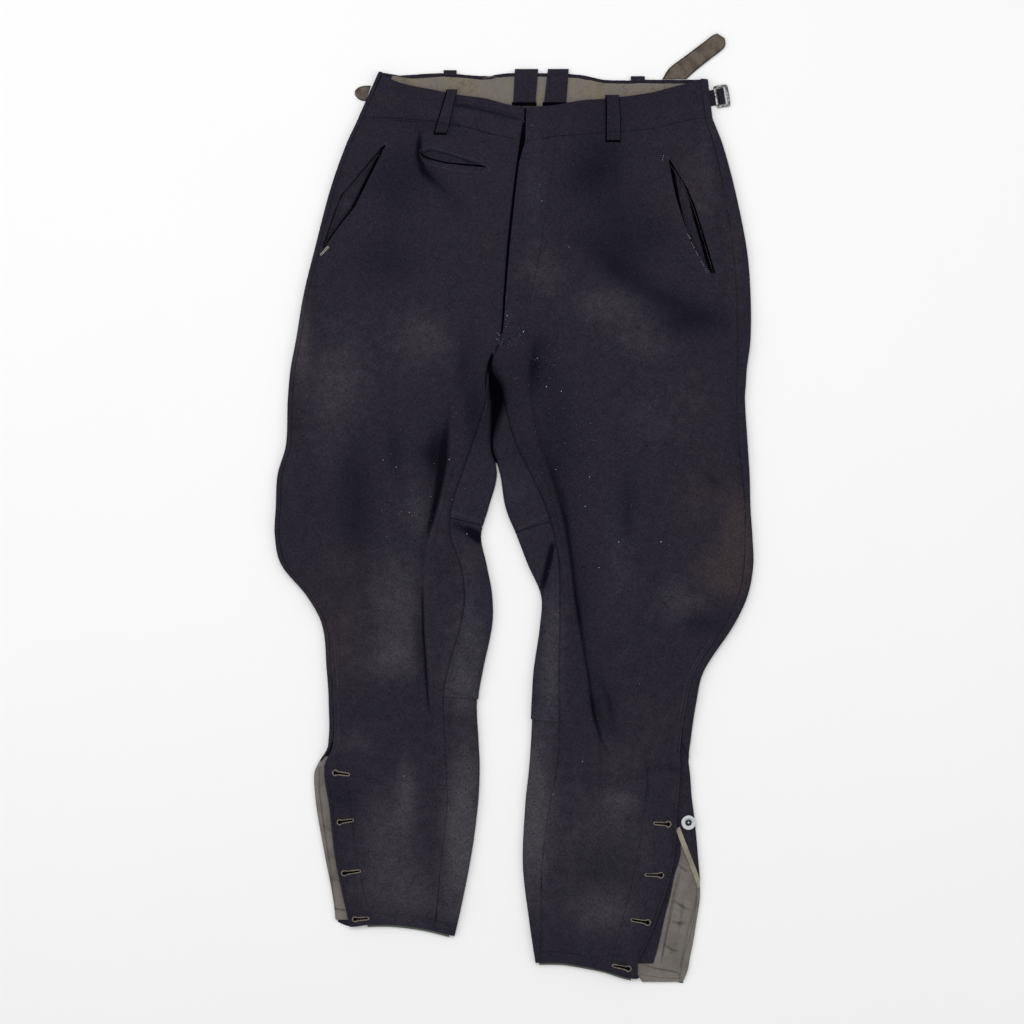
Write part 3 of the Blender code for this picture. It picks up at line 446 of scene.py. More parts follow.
class Dye:
    """A finish: a material and the nodes behind its shader."""

    def __init__(self, name, colour, constants):
        self.material = bpy.data.materials.new(name)
        self.material.use_nodes = True
        self.tree = self.material.node_tree
        self.shader = self.tree.nodes["Principled BSDF"]
        self.shader.inputs["Base Color"].default_value = (*colour, 1.0)
        for socket, value in constants.items():
            self.shader.inputs[socket].default_value = value

    def feed(self, socket, value):
        if isinstance(value, Tone):
            self.tree.links.new(value.socket, socket)
        else:
            socket.default_value = value

    def node(self, kind, settings=(), inputs=(), output=0):
        node = self.tree.nodes.new(kind)
        for name, value in dict(settings).items():
            setattr(node, name, value)
        for name, value in dict(inputs).items():
            self.feed(node.inputs[name], value)
        return Tone(self, node.outputs[output])

    def mix(self, share, first, second, how="MIX"):
        first = first if isinstance(first, Tone) else (*first, 1.0)
        second = second if isinstance(second, Tone) else (*second, 1.0)
        settings = {"data_type": "RGBA", "blend_type": how}
        return self.node("ShaderNodeMix", settings, {0: share, 6: first, 7: second}, output=2)

    def places(self, output="Object", scale=(1.0, 1.0, 1.0)):
        where = self.node("ShaderNodeTexCoord", output=output)
        return self.node("ShaderNodeVectorMath", {"operation": "MULTIPLY"}, {0: where, 1: scale})

    def painted(self, name, output="Fac"):
        return self.node("ShaderNodeAttribute", {"attribute_name": name}, output=output)

    def noise(self, where, scale, detail=2.0, roughness=0.5):
        inputs = {"Vector": where, "Scale": scale, "Detail": detail, "Roughness": roughness}
        return self.node("ShaderNodeTexNoise", {"noise_dimensions": "3D"}, inputs)

    def bump(self, height, strength, distance):
        inputs = {"Height": height, "Strength": strength, "Distance": distance}
        self.feed(self.shader.inputs["Normal"], self.node("ShaderNodeBump", {}, inputs))

    def thread_weave(self, length, thickness):
        """Threads across and down the cut, each a run of short uneven stretches."""
        across = self.places("UV", (1 / length, 1 / thickness, 1.0))
        down = self.places("UV", (1 / thickness, 1 / length, 1.0))
        return self.noise(across, 1.0, 1.0) * 0.5 + self.noise(down, 1.0, 1.0) * 0.5


def wool_finish(name, navy, dark_dye_and_shade, worn, brown):
    """Napped wool: uneven dye, worn and browned places, darker places that are partly darker dye and partly
    painted shade, and a close weave under the nap.
    """
    constants = {
        "Roughness": 0.95,
        "Specular IOR Level": 0.07,
        "Sheen Weight": 0.02,
        "Sheen Roughness": 0.5,
    }
    dye = Dye(name, navy, constants)
    where = dye.places()
    cloud = dye.noise(where, 24.0, 3.0)
    mottle = dye.noise(where, 95.0, 4.0, 0.6)
    grain = dye.noise(where, 520.0, 2.0, 0.6)
    weave = dye.thread_weave(0.0042, 0.0009)
    marks_and_shade_split = dye.node("ShaderNodeSeparateXYZ", {}, {0: dye.painted("fade", "Vector")})
    marks_and_shade_channels = [Tone(dye, socket) for socket in marks_and_shade_split.socket.node.outputs]
    worn_share = (marks_and_shade_channels[0] + (cloud - 0.5) * 0.35 + (mottle - 0.5) * 0.3) * 0.95
    brown_share = marks_and_shade_channels[1] + (mottle - 0.5) * 0.35 + (cloud - 0.5) * 0.3
    dark_dye_and_shade_share = marks_and_shade_channels[2] + (cloud - 0.5) * 0.45 + (mottle - 0.5) * 0.25
    patchy = dye.noise(where, 210.0, 3.0, 0.6).between(0.42, 0.60)
    colour = dye.mix(patchy, navy, tuple(value * shift for value, shift in zip(navy, (0.93, 0.90, 1.04))))
    colour = dye.mix(brown_share.between(0.05, 1.05), colour, brown)
    colour = dye.mix(worn_share.between(0.0, 1.1), colour, worn)
    # Darkest places: darker dye, and painted shade in folds and hollows
    colour = dye.mix(dark_dye_and_shade_share.between(0.0, 1.5), colour, dark_dye_and_shade)
    shade = (weave - 0.5) * 1.7 + (grain - 0.5) * 1.3 + (mottle - 0.5) * 0.5 + 1.0
    colour = dye.mix(1.0, colour, shade, "MULTIPLY")
    dust = dye.noise(where, 800.0, 1.0).between(0.72, 0.82) * 0.3
    colour = dye.mix(dust, colour, (0.11, 0.105, 0.11))
    dye.feed(dye.shader.inputs["Base Color"], colour)
    dye.bump(weave * 0.7 + grain * 0.5, 0.55, 0.0005)
    return dye.material


navy_wool = wool_finish(
    "navy_wool",
    navy=(0.0178, 0.0157, 0.0232),
    # the darkest colour stands for darker dye and painted shade
    dark_dye_and_shade=(0.0022, 0.0018, 0.0050),
    worn=(0.049, 0.045, 0.054),
    brown=(0.034, 0.0268, 0.0305),
)

# Worn, browned and darker places, the darker ones partly painted shade: across, down, the two half sizes and
# the strength of each soft-edged place
WORN_SPOTS = [
    (-95, 286, 37, 37, 0.48), (104, 251, 50, 24, 0.5), (138, 291, 43, 24, 0.4),
    (152, 369, 50, 39, 0.3), (178, 572, 30, 28, 0.55), (-131, 634, 39, 26, 0.5),
    (-96, 467, 24, 41, 0.4), (-54, 815, 21, 85, 1.15), (19, 791, 20, 100, 0.95), (-190, 318, 62, 80, 0.26),
    (-182, 330, 34, 40, 0.12), (-126, 572, 36, 62, 0.65), (-110, 800, 60, 110, 0.16),
    (100, 830, 80, 100, 0.14), (-116, 774, 10, 35, 0.5),
    (114, 785, 22, 13, 0.5), (-175, 720, 24, 15, 0.4), (-199, 375, 24, 65, 0.25),
    (-48, 612, 26, 65, 0.52), (41, 629, 15, 76, 0.62), (-64, 42, 43, 9, 0.2), (23, 126, 15, 76, 0.25),
    (207, 116, 13, 65, 0.35), (93, 906, 37, 24, 0.4), (-134, 839, 37, 65, 0.5), (93, 839, 65, 86, 0.35),
    (-231, 278, 11, 65, 0.4), (-58, 666, 24, 28, 0.5), (33, 213, 32, 26, 0.25),
    (114, 526, 22, 86, 0.25), (-102, 893, 54, 28, 0.35), (6, 445, 24, 28, 0.3),
]
BROWN_SPOTS = [
    (-188, 612, 37, 65, 0.6), (-231, 569, 22, 37, 0.4), (-228, 288, 11, 71, 0.6),
    (-48, 526, 22, 30, 0.5), (242, 510, 17, 50, 1.2), (201, 461, 41, 60, 0.5), (218, 542, 28, 26, 0.8),
    (149, 694, 45, 37, 0.35), (192, 126, 24, 65, 0.5), (33, 215, 28, 24, 0.5), (-35, 175, 15, 43, 0.35),
    (-44, 742, 15, 56, 0.6), (-91, 861, 32, 22, 0.3), (-136, 31, 19, 13, 0.4),
    (114, 747, 35, 24, 0.4), (195, 353, 39, 43, 0.35), (238, 191, 13, 86, 0.4), (158, 137, 19, 32, 0.2),
    (-242, 429, 11, 43, 0.4), (-183, 526, 32, 26, 0.35), (50, 612, 13, 32, 0.3),
    (181, 774, 15, 26, 0.5), (-166, 882, 26, 26, 0.3),
]
# Darker places, partly darker dye and partly painted shade where the cloth dips and folds
DARK_DYE_AND_SHADE_SPOTS = [
    (-90, 32, 95, 24, 0.3), (105, 30, 95, 24, 0.3),
    (-125, 113, 39, 48, 0.6), (-139, 204, 37, 32, 0.5), (-171, 461, 24, 76, 0.7), (93, 99, 39, 56, 0.6),
    (45, 407, 30, 82, 0.6), (184, 275, 43, 17, 0.6), (136, 175, 54, 39, 0.4), (93, 856, 45, 39, 0.6),
    (-188, 780, 24, 28, 0.5), (201, 595, 26, 13, 0.7), (121, 467, 15, 54, 0.4), (-45, 369, 13, 50, 0.6),
    (26, 312, 22, 35, 0.5), (-78, 413, 17, 43, 0.4), (6, 429, 15, 37, 0.3), (-15, 353, 26, 65, 0.5),
    (-91, 591, 11, 54, 0.3), (95, 683, 15, 26, 0.6), (75, 569, 11, 54, 0.4),
]
# Shade and dirt gathered in the folds: strength, half width in mm, and the line with its strength
FOLD_SHADES = [
    (1.5, 3.6, [
        (-70, 362, 0.1), (-74, 392, 0.6), (-76.5, 421, 1), (-82, 455, 1), (-88, 482, 0.9), (-93, 500, 0.3),
    ]),
    (0.55, 10, [(-82, 380, 0.3), (-86, 420, 1), (-93, 465, 0.7), (-99, 492, 0.2)]),
    (1.1, 1.5, [
        (-99, 552, 0.3), (-98.6, 566, 0.9), (-98, 600, 1), (-95, 645, 1), (-92.6, 680, 0.9),
        (-88, 698, 0.3),
    ]),
    (0.35, 8, [(-104, 575, 0.4), (-103, 625, 1), (-99, 680, 0.5)]),
    (0.5, 4, [(38, 420, 0.4), (52, 470, 1), (62, 530, 1), (69, 590, 0.7)]),
    (0.9, 1.8, [
        (52, 450, 0.3), (58, 500, 0.6), (67, 570, 0.7), (75, 620, 0.9), (82, 660, 1), (85, 690, 1),
        (94, 720, 0.8), (104, 738, 0.3),
    ]),
    (0.45, 10, [(88, 650, 0.6), (95, 683, 1), (101, 700, 0.6)]),
    (1.0, 5, [(-24, 318, 0.5), (-14, 340, 1), (-12, 358, 1), (-19, 376, 0.8), (-24, 396, 0.5)]),
    (0.8, 2.0, [(-62, 36, 0.8), (-40, 40, 1), (-20, 45, 1), (0, 50, 1), (8, 52, 0.7)]),
    (0.35, 8, [(-115, 55, 0.5), (-80, 62, 1), (-50, 70, 0.6)]),
    (1.3, 6, [(-64, 488, 0.7), (-50, 494, 1), (-38, 500, 1)]),
    (1.2, 5, [(-46, 497, 0.7), (-39, 504, 1)]),
    (2.0, 3.4, [(41, 510, 0.6), (37, 530, 1), (32, 550, 0.8), (29, 560, 0.3)]),
    (1.7, 2.8, [
        (-101.5, 66, 0.3), (-102.5, 78, 0.9), (-102.5, 92, 1), (-98, 106, 0.9), (-88, 116, 0.4),
        (-72, 131, 0.1),
    ]),
    (0.4, 12, [(-92, 112, 0.8), (-70, 132, 1), (-50, 164, 0.4)]),
    (0.4, 6, [(-38, 160, 0.5), (-36, 190, 1), (-34, 220, 0.3)]),
    (0.75, 17, [(72, 180, 0.4), (109, 213, 0.8), (148, 240, 1), (190, 256, 0.9), (222, 265, 0.5)]),
    (0.3, 26, [(96, 96, 0.6), (72, 120, 1), (52, 150, 0.6)]),
    (0.3, 24, [(100, 170, 0.6), (124, 190, 1), (150, 176, 0.5)]),
    (0.5, 7, [(28, 290, 0.6), (22, 318, 1), (21, 345, 0.5)]),
    (0.6, 9, [(-128, 372, 0.4), (-129, 405, 1), (-127, 440, 0.5)]),
    (0.3, 16, [(-116, 422, 0.5), (-101, 412, 1), (-90, 406, 0.5)]),
    (0.5, 10, [(-44, 275, 0.5), (-54, 310, 1), (-62, 345, 0.5)]),
    (0.4, 6, [(122, 446, 0.4), (124, 461, 1), (121, 500, 0.6)]),
    (0.6, 4, [(-76, 664, 0.5), (-62, 670, 1), (-48, 672, 0.6)]),
    (0.5, 3, [(144, 753, 0.8), (144, 774, 1), (143, 798, 0.4)]),
    (0.7, 6, [(203, 431, 0.7), (214, 440, 1), (226, 447, 0.5)]),
]
UNDER_WORN = [
    (-150, 180, 60, 90, 0.5), (130, 190, 60, 80, 0.5), (-140, 560, 50, 60, 0.4), (150, 570, 50, 60, 0.4),
]
UNDER_BROWN = [
    (-190, 420, 30, 90, 0.5), (210, 430, 30, 90, 0.5), (-90, 840, 40, 50, 0.4), (90, 850, 40, 60, 0.4),
]
# Darker places on the lower layer, partly painted shade between the legs and under the fly
UNDER_DARK_DYE_AND_SHADE = [(-80, 420, 50, 90, 0.6), (80, 400, 50, 90, 0.6), (0, 120, 60, 50, 0.4)]


def spots(across, down, table):
    total = np.zeros_like(across)
    for x, d, wide, tall, strength in table:
        total += strength * np.exp(-((((across - x) / wide) ** 2 + ((down - d) / tall) ** 2) ** 1.1))
    return total


def on_garment(obj):
    """Where an object's points lie, in mm: arrays of across, down and height."""
    points = np.zeros(len(obj.data.vertices) * 3)
    obj.data.vertices.foreach_get("co", points)
    points = points.reshape(-1, 3) / MM
    return points[:, 0], WAIST_Y - points[:, 1], points[:, 2]


def fade(obj):
    """Give a piece its wear, darker dye and painted shade as an attribute, from where each of its points lies
    on the garment.
    """
    across, down, height = on_garment(obj)
    upper = ease(height, 2.5, 5.5)
    channels = []
    for above, below in ((WORN_SPOTS, UNDER_WORN), (BROWN_SPOTS, UNDER_BROWN), (DARK_DYE_AND_SHADE_SPOTS, UNDER_DARK_DYE_AND_SHADE)):
        channels.append(blend(spots(across, down, below), spots(across, down, above), upper))
    # Painted shade along the folds is added to the darkest channel
    channels[2] += ease(height, 1.2, 3.0) * crease_heights(across, down, FOLD_SHADES)
    layer = obj.data.attributes.new("fade", "FLOAT_VECTOR", "POINT")
    layer.data.foreach_set("vector", np.stack(channels, axis=-1).ravel())


def dress(obj, node, rests_on):
    """Attach a cloth piece to the garment's body, and hide its solid if it has one."""
    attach(obj, "breeches")
    if node:
        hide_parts(node)


right = Leg("right", RIGHT_LEG, RIGHT_HEM, CREASES_RIGHT, -1)
left = Leg("left", LEFT_LEG, LEFT_HEM, CREASES_LEFT, 1)
legs = (right, left)
for leg, size, area in ((right, (0.31, 0.90), 0.205), (left, (0.33, 0.94), 0.235)):
    rows = []
    for station in leg.stations:
        rows.append([(x, station + leg.hem_shift(x, station), z) for x, z in leg.back_section(station)])
    rows = np.array(rows)
    upper = ease(rows[..., 2], 3.6, 5.8)
    rows[..., 2] += upper * top_relief(leg, rows[..., 0], rows[..., 1])
    under = np.maximum(crease_heights(rows[..., 0], rows[..., 1], CREASES_UNDER), 0.0)
    rows[..., 2] += (rows[..., 2] < WOOL / 2 + 0.01) * under
    back = cloth("wool_back_" + leg.name, rows, WOOL, navy_wool)
    fade(back)
    dress(back, "back_" + leg.name, rests_on="floor")

# The two fronts
# Each front closes its leg on top, from the side seam to the inner seam, and the left one laps over
# the right one at the fly. Long folds run down them, and the pocket mouths and buttonholes are cut in.

WAIST_COLUMNS = ("across", "back_top", "front_top", "seam", "lean")
WAIST = [
    (-168, 0, 1, 50, 22),
    (-146, 0, 2, 50, 18),
    (-123, 3, 12, 51, 12),
    (-85, 1, 20, 54, 5),
    (-60, 2, 25, 58, 2),
    (-30, 4, 29, 66, 0),
    (-8, 1, 35, 71, 0),
    (14, 1, 38, 75, 1),
    (44, 1, 36, 70, 0),
    (72, 3, 31, 68, 0),
    (99, 8, 29, 66, 0),
    (146, 8, 23, 62, 0),
    (181, 8, 14, 54, -2),
    (205, 8, 9, 50, -5),
    (214, 8, 9, 50, -5),
]
SEAM_FADE = 110.0
FLY_END = 288.0
FLY_CLEAR = 304.0
FLY_LIFT = 2.6
FLY_WIDTH = 34.0
CROTCH_EASE = 0.8
PLACKET_EASE = 0.6
NEAR_SEAM = (0.0, 0.6, 1.4, 2.6)
# Pocket mouths: down and across for each of the two lips, point by point along the mouth
HIP_RIGHT = [
    (82, -143, 79, -139), (110, -167, 105, -152), (134, -187, 127, -163),
    (155, -195, 146, -173), (176, -202, 166, -189), (192, -207, 188, -204),
]
HIP_LEFT = [
    (95, 168, 95, 166.5), (108, 176, 112, 169.3), (126, 187, 136, 174.4),
    (146, 195.5, 160, 182), (176, 205, 187, 192.5), (217, 217, 218, 213),
]
WATCH = [
    (89.6, -100.2, 87.8, -100.2), (94.8, -91, 83.8, -91), (99.5, -72, 88, -72), (101.6, -50, 95.2, -50),
    (103.4, -31, 102.2, -31),
]
# Buttonholes: the inner end and the end at the edge, each across and down, and the gape at the edge
BUTTONHOLES = {
    "right": [
        (-178.7, 757.0, -194.0, 755.0, 1.5),
        (-174.4, 806.2, -189.0, 808.6, 0.8),
        (-167.0, 861.0, -184.5, 863.6, 0.8),
        (-158.0, 912.0, -172.5, 913.0, 0.5),
    ],
    "left": [
        (152.0, 809.5, 167.5, 810.5, 2.2),
        (142.5, 864.8, 159.5, 865.4, 1.7),
        (127.5, 913.5, 145.5, 916.6, 1.7),
        (107.5, 962.6, 124.5, 966.4, 1.0),
    ],
}


def waist(across, wanted):
    return read_table(WAIST, WAIST_COLUMNS, across, wanted)


def soft_curve(knots, wanted):
    """Heights on a curve through knots that never swings past them."""
    t = np.array([knot[0] for knot in knots])
    z = np.array([knot[1] for knot in knots])
    steps = np.diff(t)
    slopes = np.diff(z) / steps
    bends = np.zeros_like(z)
    same = slopes[:-1] * slopes[1:] > 0
    inner = np.zeros(len(z) - 2)
    inner[same] = 2 * slopes[:-1][same] * slopes[1:][same] / (slopes[:-1] + slopes[1:])[same]
    bends[1:-1] = inner
    wanted = np.clip(wanted, t[0], t[-1])
    index = np.clip(np.searchsorted(t, wanted) - 1, 0, len(steps) - 1)
    h = steps[index]
    u = (wanted - t[index]) / h
    return (
        (2 * u**3 - 3 * u**2 + 1) * z[index]
        + (u**3 - 2 * u**2 + u) * h * bends[index]
        + (3 * u**2 - 2 * u**3) * z[index + 1]
        + (u**3 - u**2) * h * bends[index + 1]
    )


def front_section(leg, down):
    """A front's section, from its inner edge to its side edge, with the long fold turned over."""
    s = leg.sign
    wrap = leg.inner_wrap(down)
    edge = leg.inner_seam(down) + s * (SEAM / 2 + CROTCH_EASE * math.sin(math.pi * wrap))
    easing = PLACKET_EASE * ease(down, PLACKET_TOP[0] - 30, PLACKET_TOP[0])
    whole = s * (leg.side_seam(down) - edge) - SEAM / 2 - easing
    crease = s * (leg.at(down, "crease") - edge)
    press = s * (leg.at(down, "press") - edge)
    top = leg.at(down, "top")
    fold = leg.at(down, "fold")
    lift = 0.0 if s < 0 else FLY_LIFT * (1.0 - ease(down, FLY_END, FLY_CLEAR))
    inner = leg.seam_height(down)
    width = min(FLY_WIDTH, 0.45 * crease)
    high = crease - 3.0
    low = crease + 4.0
    knots = [
        (0.0, inner + lift),
        (width, blend(inner, top + fold, 0.5) + lift),
        (blend(width, high, 0.6), top + 0.85 * fold + 0.2 * lift),
        (high, top + 1.25 * fold),
        (low, top - 0.35 * fold),
        (blend(low, press, 0.5), top + 0.2),
        (press, top + 0.9),
        (blend(press, whole, 0.35), top + 0.4),
        (blend(press, whole, 0.7), top + 0.3),
        (whole, top),
    ]
    steps = list(NEAR_SEAM[:-1]) + [blend(NEAR_SEAM[-1], high, k / 27) for k in range(27)]
    turn = np.arange(10) / 10
    steps += [blend(high, low, share) for share in turn]
    steps += [blend(low, whole - NEAR_SEAM[-1], k / 44) for k in range(44)]
    steps += [whole - gap for gap in NEAR_SEAM[::-1]]
    steps = np.array(steps)
    heights = soft_curve(knots, steps)
    heights -= 0.6 * np.exp(-((steps / 1.5) ** 2)) * (lift < 0.1)
    heights -= 0.6 * np.exp(-(((whole - steps) / 1.5) ** 2)) * leg.outer_wrap(down)
    lip = 0.55 * max(fold - 1.6, 0.0)
    steps[30:40] += lip * np.sin(2 * math.pi * turn)
    return edge + s * steps, heights


def front_rows(leg):
    rows = []
    last = leg.table[-1][0]
    for station in leg.stations:
        across, heights = front_section(leg, station)
        shift = np.zeros_like(across)
        if station < WAIST_SEAM + SEAM_FADE or station > last - HEM_FADE:
            share = 1.0 - ease(station, WAIST_SEAM, WAIST_SEAM + SEAM_FADE)
            settled = min((station - WAIST_SEAM) / 28.0, 1.0)
            placed = []
            for column, x in enumerate(across):
                dip = share * (waist(x, "seam") - WAIST_SEAM)
                drop = leg.hem_shift(x, station)
                line, level = front_section(leg, station + dip * settled + drop)
                placed.append((line[column], level[column]))
                shift[column] = dip + drop
            across, heights = np.array(placed).T
        rows.append(np.stack([across, station + shift, heights], axis=-1))
    return np.array(rows)


def lens(mouth):
    return [(row[1], row[0]) for row in mouth] + [(row[3], row[2]) for row in mouth[::-1]]


def slot_outline(x0, d0, x1, d1, gape):
    """Round a buttonhole: a narrow slit that opens to an eye at the edge of the cloth."""
    length = math.hypot(x1 - x0, d1 - d0)
    along = ((x1 - x0) / length, (d1 - d0) / length)
    half = [(0.0, 0.15), (0.3, 0.35), (0.6, 0.45), (0.78, 0.8), (0.9, 1.0), (0.97, 0.8)]
    outline = []
    for share, width in half + [(1.0, 0.0)] + [(share, -width) for share, width in half[::-1]]:
        x = x0 + along[0] * share * length - along[1] * width * gape / 2
        down = d0 + along[1] * share * length + along[0] * width * gape / 2
        outline.append((x, down))
    return outline


def cut_away(obj, tool):
    """Cut a closed shape out of an object."""
    mesh = bpy.data.meshes.new("openings")
    tool.to_mesh(mesh)
    tool.free()
    cutter = place("openings", mesh)
    cut = obj.modifiers.new("openings", "BOOLEAN")
    cut.operation = "DIFFERENCE"
    cut.solver = "EXACT"
    cut.object = cutter
    settle(obj)
    bpy.data.objects.remove(cutter)
    bpy.data.meshes.remove(mesh)


def cut_through(panel, outlines):
    """Cut openings through a panel. Each outline is a list of (across, down)."""
    tool = bmesh.new()
    for outline in outlines:
        ring = [tool.verts.new((x * MM, (WAIST_Y - d) * MM, 0.003)) for x, d in outline]
        lifted = bmesh.ops.extrude_face_region(tool, geom=[tool.faces.new(ring)])
        moved = [item for item in lifted["geom"] if isinstance(item, bmesh.types.BMVert)]
        bmesh.ops.translate(tool, verts=moved, vec=(0, 0, 0.02))
    bmesh.ops.recalc_face_normals(tool, faces=tool.faces[:])
    cut_away(panel, tool)


for leg, mouths, size, area in (
    (right, [HIP_RIGHT, WATCH], (0.25, 0.90), 0.140),
    (left, [HIP_LEFT], (0.27, 0.94), 0.165),
):
    rows = front_rows(leg)
    rows[..., 2] += top_relief(leg, rows[..., 0], rows[..., 1])
    for mouth in mouths:
        for down_column, across_column in ((0, 1), (2, 3)):
            lip = [(row[across_column], row[down_column], 1.0) for row in mouth]
            rows[..., 2] += crease_heights(rows[..., 0], rows[..., 1], [(0.7, 3.2, lip)])
    front = cloth("wool_front_" + leg.name, rows, WOOL, navy_wool)
    openings = [lens(mouth) for mouth in mouths]
    openings += [slot_outline(*hole) for hole in BUTTONHOLES[leg.name]]
    cut_through(front, openings)
    smooth(front)
    fade(front)
    dress(front, "front_" + leg.name, rests_on="wool_back_" + leg.name)

# The leg patches
# A patch of the same wool is sewn over the inside of each thigh, and another over the inside of each
# calf, where the leg rubs on the saddle. Their lower hems are turned in and double stitched.

PATCH = 1.2
PATCH_TOP = 353.0
THIGH_HEM = {"right": (490.0, 480.0), "left": (498.0, 484.0)}    # at the inner edge, at the seam
KNEE_HEM = {"right": (676.0, 673.0), "left": (697.0, 701.0)}

patch_wool = wool_finish(
    "patch_wool",
    navy=(0.0190, 0.0170, 0.0255),
    # the darkest colour stands for darker dye and painted shade
    dark_dye_and_shade=(0.0022, 0.0018, 0.0050),
    worn=(0.051, 0.047, 0.057),
    brown=(0.036, 0.0285, 0.0325),
)


def raised(points, distance):
    """A section's points moved out along its normals, on to the outside of the cloth."""
    points = np.array(points)
    ways = np.gradient(points, axis=0)
    ways /= np.linalg.norm(ways, axis=1)[:, None]
    return points + distance * np.stack([-ways[:, 1], ways[:, 0]], axis=-1)


def make_patch(name, leg, top, hem):
    columns = 20
    steps = math.ceil((min(hem) - max(top)) / ROW_STEP)
    rows = []
    for k in range(steps + 1):
        row = []
        for column in range(columns):
            across_share = column / (columns - 1)
            down = blend(blend(top[1], top[0], across_share), blend(hem[1], hem[0], across_share), k / steps)
            section = raised(leg.inner_end(down), -leg.sign * (WOOL / 2 + SEAM + PATCH / 2))
            row.append((section[column][0], down, section[column][1]))
        rows.append(row)
    rows = np.array(rows)
    rows[..., 2] += ease(rows[..., 2], 3.6, 5.8) * top_relief(leg, rows[..., 0], rows[..., 1])
    from_hem = (1 - np.arange(steps + 1) / steps) * (min(hem) - max(top))
    rows[..., 2] += (0.5 * (1.0 - ease(from_hem, 5.0, 7.5)) * (from_hem > 0.1))[:, None]
    patch = cloth(name, rows, PATCH, patch_wool)
    fade(patch)
    return patch


for leg in legs:
    back_name = "wool_back_" + leg.name
    thigh = make_patch("thigh_patch_wool_" + leg.name, leg, (PATCH_TOP, PATCH_TOP), THIGH_HEM[leg.name])
    dress(thigh, "thigh_patch_" + leg.name, back_name)
    top = tuple(down + PATCH for down in THIGH_HEM[leg.name])
    knee = make_patch("knee_patch_wool_" + leg.name, leg, top, KNEE_HEM[leg.name])
    dress(knee, "knee_patch_" + leg.name, back_name)

# The waistband
# A band of doubled wool runs round the waist, cut in two at the fly and joined to the back's own band
# at the sides. Inside the back one, a grey-olive cotton lining shows, pieced and stained.

BAND = 2.4
LINING = 0.9
STRAP = 1.2
BAND_ROWS = 24
BAND_DEPTH = 44.0
LINING_CREASES = [
    (-0.5, 1.4, [(-83, 6, 1), (-82, 20, 1)]),
    (-0.5, 1.4, [(119, 8, 1), (118, 16, 1), (122, 24, 0.8)]),
    (-0.5, 1.4, [(162, 8, 1), (161, 20, 1)]),
    (0.5, 4, [(-120, 10, 0.6), (-100, 14, 1), (-60, 12, 0.5)]),
    (0.5, 5, [(60, 12, 0.5), (85, 16, 1), (110, 14, 0.6)]),
    (0.4, 3, [(-50, 18, 0.6), (-30, 24, 1)]),
]


def band_rows(points, edge):
    """A waistband above a panel's first row of points, up to its own edge."""
    rows = []
    for k in range(BAND_ROWS):
        share = k / (BAND_ROWS - 1)
        row = []
        for x, down, z in points:
            top_x = x + waist(x, "lean")
            row.append((blend(x, top_x, share), blend(down - SEAM, waist(top_x, edge), share), z))
        rows.append(row)
    return np.array(rows)


def cotton_finish(name, colour, stained, dirt, shine=0.15):
    """Plain cotton cloth: a coarse even weave, with dirt in soft patches and painted shade in fine lines
    along its creases.
    """
    dye = Dye(name, colour, {"Roughness": 0.9, "Specular IOR Level": shine, "Sheen Weight": shine / 3})
    where = dye.places()
    cloud = dye.noise(where, 38.0, 4.0, 0.6)
    smudge = dye.noise(where, 150.0, 3.0, 0.6)
    weave = dye.thread_weave(0.0035, 0.0007)
    tone = dye.mix(cloud.between(0.42, 0.62), colour, stained)
    tone = dye.mix((cloud * 0.5 + smudge * 0.5).between(0.50, 0.66) * 0.75, tone, dirt)
    # Painted shade: fine dark lines along the creases
    tone = dye.mix(dye.painted("crease_shade").between(0.0, 1.0) * 0.8, tone, tuple(value * 0.4 for value in dirt))
    tone = dye.mix(1.0, tone, (weave - 0.5) * 0.9 + (smudge - 0.5) * 0.35 + 1.0, "MULTIPLY")
    dye.feed(dye.shader.inputs["Base Color"], tone)
    dye.bump(weave, 0.6, 0.0004)
    return dye.material


lining_cotton = cotton_finish(
    "lining_cotton", colour=(0.148, 0.131, 0.116), stained=(0.168, 0.146, 0.104), dirt=(0.082, 0.075, 0.070)
)
for leg, size in ((right, (0.205, 0.052)), (left, (0.20, 0.052))):
    rows = front_rows(leg)[:1]
    rows[..., 2] += top_relief(leg, rows[..., 0], rows[..., 1])
    rows = band_rows(rows[0], "front_top")
    share = np.linspace(0.0, 1.0, BAND_ROWS)[:, None]
    depth = share * BAND_DEPTH
    rows[..., 2] -= 0.5 * np.exp(-((depth / 2.0) ** 2))
    rows[..., 2] -= 0.35 * np.exp(-(((BAND_DEPTH - depth - 9.0) / 2.0) ** 2))
    rows[..., 2] += 0.35 * slack(rows[..., 0], rows[..., 1], 14.0, 5.0)
    band = cloth("waistband_wool_" + leg.name, rows, BAND, navy_wool)
    fade(band)
    dress(band, "waistband_" + leg.name, rests_on="wool_front_" + leg.name)

first_rows = []
for leg in legs:
    row = np.array([(x, WAIST_SEAM, z) for x, z in leg.back_section(WAIST_SEAM)])
    first_rows.append(row)
rows = band_rows(np.concatenate([first_rows[0][::-1], first_rows[1][1:]]), "back_top")
fray = 0.5 * slack(rows[..., 0], rows[..., 1], 6.0, 2.0)
rows[-1, :, 1] += fray[-1]
back_band = cloth("waistband_wool_back", rows, WOOL, navy_wool)
fade(back_band)
dress(back_band, "waistband_back", rests_on="wool_back_left")

lining_level = WOOL + SEAM + LINING / 2
columns = np.linspace(-150.0, 200.0, 110)
rows = []
for share in np.linspace(0.0, 1.0, 14):
    rows.append([
        (x + share * waist(x, "lean"), blend(46.0, waist(x, "back_top") + 4.0, share), lining_level)
        for x in columns
    ])
rows = np.array(rows)
rows[..., 2] += np.maximum(crease_heights(rows[..., 0], rows[..., 1], LINING_CREASES), -0.25)
rows[-1, :, 1] += 0.6 * slack(rows[-1, :, 0], rows[-1, :, 1], 8.0, 7.0)
lining = cloth("waistband_cotton", rows, LINING, lining_cotton)
dress(lining, "waistband_lining", rests_on="wool_back_left")
